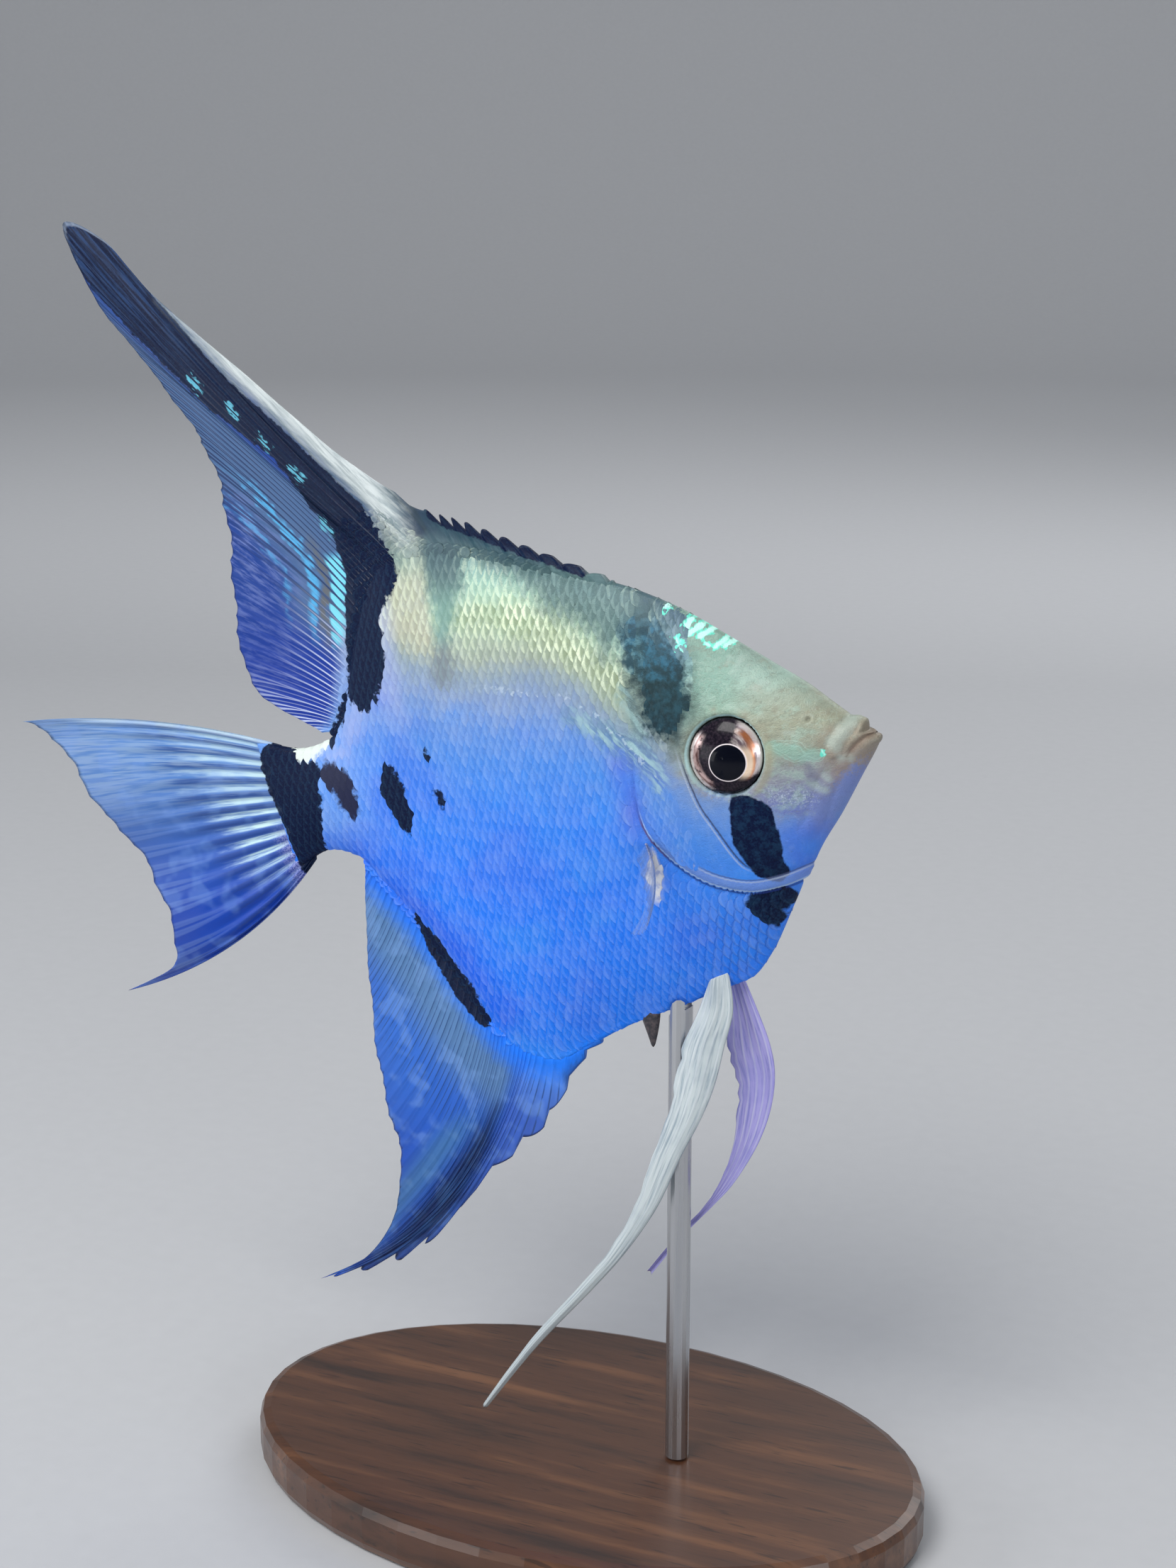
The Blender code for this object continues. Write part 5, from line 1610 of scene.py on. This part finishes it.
def tail_material():
    shade = FinShade("tail_fin_web")
    up, out, along = shade.up, shade.out, shade.along
    colour = mix(up.step(14, -18), rgb(86, 132, 196), rgb(8, 66, 176))
    pleat = shade.math("SINE", shade.phase * (2 * math.pi))
    cell = shade.math("FLOOR", shade.phase)
    reach = out + (along - 0.5) * 0.4
    hair = shade.noise(shade.join(shade.phase * 7.0, out * 5.0, 1.0), 1, 2, 0.6)
    bright = shade.noise(shade.join(cell, 0.0, 3.0), 3.1, 0).step(0.2, 0.6, 0.55, 1)
    # Painted light on the pleats: highlights on one side of each pleat near the root, and shade in the
    # troughs between them.
    pleat_highlight = pleat.step(-0.2, 0.6) * reach.step(0.6, 0.3) * out.step(0.09, 0.13)
    pleat_highlight = pleat_highlight * up.step(-15, -6) * hair.step(0.34, 0.56, 0.35, 1) * bright
    pleat_shade = pleat.step(-0.1, -0.8) * out.band(0.1, 0.6, 0.08)
    colour = mix(pleat_shade * 0.6, colour, rgb(30, 60, 132))
    colour = mix(pleat_highlight, colour, rgb(200, 230, 234))
    haze = up.step(-4, 12) * hair.step(0.38, 0.6) * 0.5
    colour = mix(haze, colour, rgb(160, 186, 214))
    rays = shade.crest.step(0.4, 0.9) * out.step(0.5, 0.9) * 0.25
    colour = mix(rays, colour, rgb(130, 160, 216))
    lilac = out.step(0.26, 0.14) * up.step(-2, -6) * 0.8
    colour = mix(lilac, colour, mix(shade.fine.step(0.42, 0.58), rgb(70, 84, 160), rgb(150, 156, 212)))
    top = shade.fan.step(0.07, 0.02) * out.step(1, 0.6) * 0.7
    colour = mix(top, colour, rgb(190, 210, 224))
    patches = shade.noise(shade.where, 0.22, 2)
    colour = mix(patches.step(0.5, 0.66, 0, 0.25), colour, rgb(120, 160, 226))
    solid = pleat_highlight.most(lilac.most(top))
    alpha = solid * 0.3 + shade.margin.step(0, 0.3, 0.78, 0.9)
    shade.finish(colour, alpha.least(0.98))
    return shade.material


def ventral_material(name, pale, shadow):
    shade = Shade(name, Roughness=0.38, Coat_Weight=0.15, IOR=1.36)
    width, length, ridge = shade.split(shade.place("ray"))
    grain = shade.noise(shade.join(width * 1.6, length * 5.0, 0.0), 1.6, 4, 0.6)
    blotch = shade.noise(shade.place(), 0.16, 3)
    colour = mix(grain.step(0.3, 0.56), shadow, pale)
    colour = mix(ridge.step(0.6, 1) * 0.3, colour, rgb(232, 236, 240))
    colour = mix(blotch.step(0.48, 0.72, 0, 0.4), colour, shadow)
    shade.set("Base Color", colour)
    shade.set("Alpha", length.step(0.3, 1, 0.97, 0.88))
    shade.set("Normal", shade.bump(grain, 0.12, 0.00015))
    return shade.material


def pectoral_material():
    shade = Shade("pectoral_fin_web", Roughness=0.3, Coat_Weight=0.2, IOR=1.38)
    phase, out, crest = shade.split(shade.place("ray"))
    grain = shade.noise(shade.join(phase, out * 9.0, 0.0), 3, 3)
    root = out.step(0.36, 0.06)
    colour = mix(root, rgb(150, 172, 214), rgb(204, 198, 196))
    colour = mix(crest * 0.5, colour, rgb(140, 152, 190))
    shade.set("Base Color", colour)
    clear = crest * 0.18 + grain.step(0.3, 0.7, 0.06, 0.14)
    shade.set("Alpha", clear.most(root * 0.92))
    return shade.material


def vent_material():
    shade = Shade("vent_skin", Roughness=0.35, Coat_Weight=0.3)
    grain = shade.noise(shade.place(), 1.4, 4, 0.6)
    shade.set("Base Color", mix(grain.step(0.35, 0.7), rgb(30, 30, 40), rgb(78, 68, 70)))
    shade.set("Normal", shade.bump(grain, 0.3, 0.0002))
    return shade.material


def wood_material():
    shade = Shade("stand_walnut", Roughness=0.38, Coat_Weight=0.35, Coat_Roughness=0.2)
    where = shade.object_place()
    stretched = shade.vector("MULTIPLY", where, (26.0, 260.0, 200.0))
    grain = shade.noise(stretched, 1, 5, 0.6)
    pores = shade.noise(shade.vector("MULTIPLY", where, (240.0, 2600.0, 1500.0)), 1, 2)
    colour = shade.ramp(grain, ((0.28, rgb(44, 27, 18)), (0.5, rgb(78, 48, 31)), (0.72, rgb(112, 74, 48))))
    colour = mix(pores.step(0.4, 0.3, 0, 0.6), colour, rgb(28, 17, 12))
    shade.set("Base Color", colour)
    shade.set("Roughness", grain.step(0.2, 0.8, 0.44, 0.32))
    shade.set("Normal", shade.bump(grain, 0.08, 0.0004))
    return shade.material


def steel_material():
    shade = Shade("stand_steel", Metallic=1.0, Coat_Weight=0.0)
    where = shade.object_place()
    brushed = shade.noise(shade.vector("MULTIPLY", where, (900.0, 900.0, 26.0)), 1, 3)
    shade.set("Base Color", mix(brushed, rgb(168, 170, 174), rgb(206, 207, 209)))
    shade.set("Roughness", brushed.step(0.2, 0.8, 0.22, 0.36))
    shade.set("Normal", shade.bump(brushed, 0.05, 0.0001))
    return shade.material


# ---------------------------------------------------------------- stage

CAMERA_AIM = (0.000637, 0.0, AXIS_HEIGHT - 0.0017)
CAMERA_AZIMUTH = math.radians(25.0)
CAMERA_ELEVATION = math.radians(15.0)
CAMERA_DISTANCE = 0.25753
CAMERA_LENS = 60.0


def add_camera():
    camera = bpy.data.cameras.new("camera")
    camera.lens = CAMERA_LENS
    camera.sensor_width = 36.0
    camera.clip_start = 0.01
    holder = bpy.data.objects.new("camera", camera)
    bpy.context.scene.collection.objects.link(holder)
    level = CAMERA_DISTANCE * math.cos(CAMERA_ELEVATION)
    holder.location = (
        CAMERA_AIM[0] + level * math.sin(CAMERA_AZIMUTH),
        CAMERA_AIM[1] - level * math.cos(CAMERA_AZIMUTH),
        CAMERA_AIM[2] + CAMERA_DISTANCE * math.sin(CAMERA_ELEVATION),
    )
    holder.rotation_euler = (math.pi / 2 - CAMERA_ELEVATION, 0.0, CAMERA_AZIMUTH)
    bpy.context.scene.camera = holder


def add_light(name, location, size, power, colour, target=(0.0, 0.0, 0.075)):
    light = bpy.data.lights.new(name, "AREA")
    light.shape = "RECTANGLE"
    light.size, light.size_y = size
    light.energy = power
    light.color = colour
    holder = bpy.data.objects.new(name, light)
    bpy.context.scene.collection.objects.link(holder)
    holder.location = location
    aim = np.array(target) - np.array(location)
    flat = math.hypot(aim[0], aim[1])
    holder.rotation_euler = (math.atan2(flat, -aim[2]), 0.0, math.atan2(aim[1], aim[0]) - math.pi / 2)


def add_stage():
    """A pale floor that sweeps up into a backdrop all round, soft lights and a dim world."""
    turn = np.linspace(0, 2 * math.pi, 96, endpoint=False)[None]
    flat, curve_radius, height = 1.1, 0.5, 1.6
    bend = np.linspace(0, math.pi / 2, 16)
    curve = flat + curve_radius * np.sin(bend[1:])
    radius = np.concatenate(([0.02, 0.4, flat], curve, [flat + curve_radius]))[:, None]
    level = np.concatenate(([0, 0, 0], curve_radius * (1 - np.cos(bend[1:])), [height]))[:, None]
    points = np.stack((radius * np.cos(turn), radius * np.sin(turn), level + 0 * turn), -1).reshape(-1, 3)
    index = np.arange(len(points)).reshape(len(radius), -1)
    wrapped = np.concatenate((index, index[:, :1]), 1)
    mesh = bpy.data.meshes.new("stage")
    mesh.from_pydata(points.tolist(), [], grid_faces(wrapped).tolist() + [index[0].tolist()])
    mesh.shade_smooth()
    shade = Shade("stage_paper", Roughness=0.9)
    grain = shade.noise(shade.object_place(), 420, 2)
    shade.set("Base Color", mix(grain, (0.5, 0.51, 0.53), (0.53, 0.54, 0.56)))
    mesh.materials.append(shade.material)
    floor = bpy.data.objects.new("stage_floor", mesh)
    bpy.context.scene.collection.objects.link(floor)

    add_light("key", (-0.1, -0.42, 0.62), (0.34, 0.34), 3.5, (1.0, 0.985, 0.96))
    add_light("low", (-0.34, -0.5, 0.05), (0.3, 0.3), 0.75, (0.96, 0.98, 1.0))
    add_light("backdrop", (-0.2, 0.5, 0.7), (1.0, 1.0), 3.0, (1.0, 1.0, 1.0), (-0.6, 1.6, 0.45))
    add_light("fill", (0.55, -0.35, 0.22), (0.4, 0.22), 1.25, (0.93, 0.96, 1.0))
    add_light("side", (-0.55, -0.25, 0.25), (0.4, 0.22), 1.1, (0.93, 0.96, 1.0))
    add_light("rim", (0.1, 0.52, 0.45), (0.4, 0.4), 1.3, (1.0, 1.0, 1.0))
    world_light = bpy.data.worlds.new("world")
    world_light.use_nodes = True
    world_light.node_tree.nodes["Background"].inputs["Color"].default_value = (0.86, 0.9, 0.96, 1.0)
    world_light.node_tree.nodes["Background"].inputs["Strength"].default_value = 0.35
    scene = bpy.context.scene
    scene.world = world_light
    scene.view_settings.view_transform = "Standard"


def dress_stand(nodes):
    for name, finish in (("stand_base", wood_material()), ("stand_rod", steel_material())):
        mesh = nodes[name].data
        mesh.shade_smooth()
        mesh.set_sharp_from_angle(angle=math.radians(30.0))
        mesh.materials.clear()
        mesh.materials.append(finish)


def main():
    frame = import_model()
    skin = skin_material("angelfish_skin", scaly=False)
    add_skin(skin)
    scales = skin_material("angelfish_scales", scaly=True)
    add_coat(scales)
    add_eyes(eye_material())
    add_middle_fins({
        "dorsal": dorsal_material(), "anal": anal_material(), "tail": tail_material(), "scales": scales,
    })
    add_ventral_fins({
        "ventral_right": ventral_material("near_ventral_fin", rgb(198, 208, 210), rgb(146, 162, 174)),
        "ventral_left": ventral_material("far_ventral_fin", rgb(172, 166, 226), rgb(136, 136, 206)),
    })
    add_pectoral_fins(pectoral_material())
    add_vent(vent_material())
    dress_stand(frame["nodes"])
    add_stage()
    add_camera()


main()
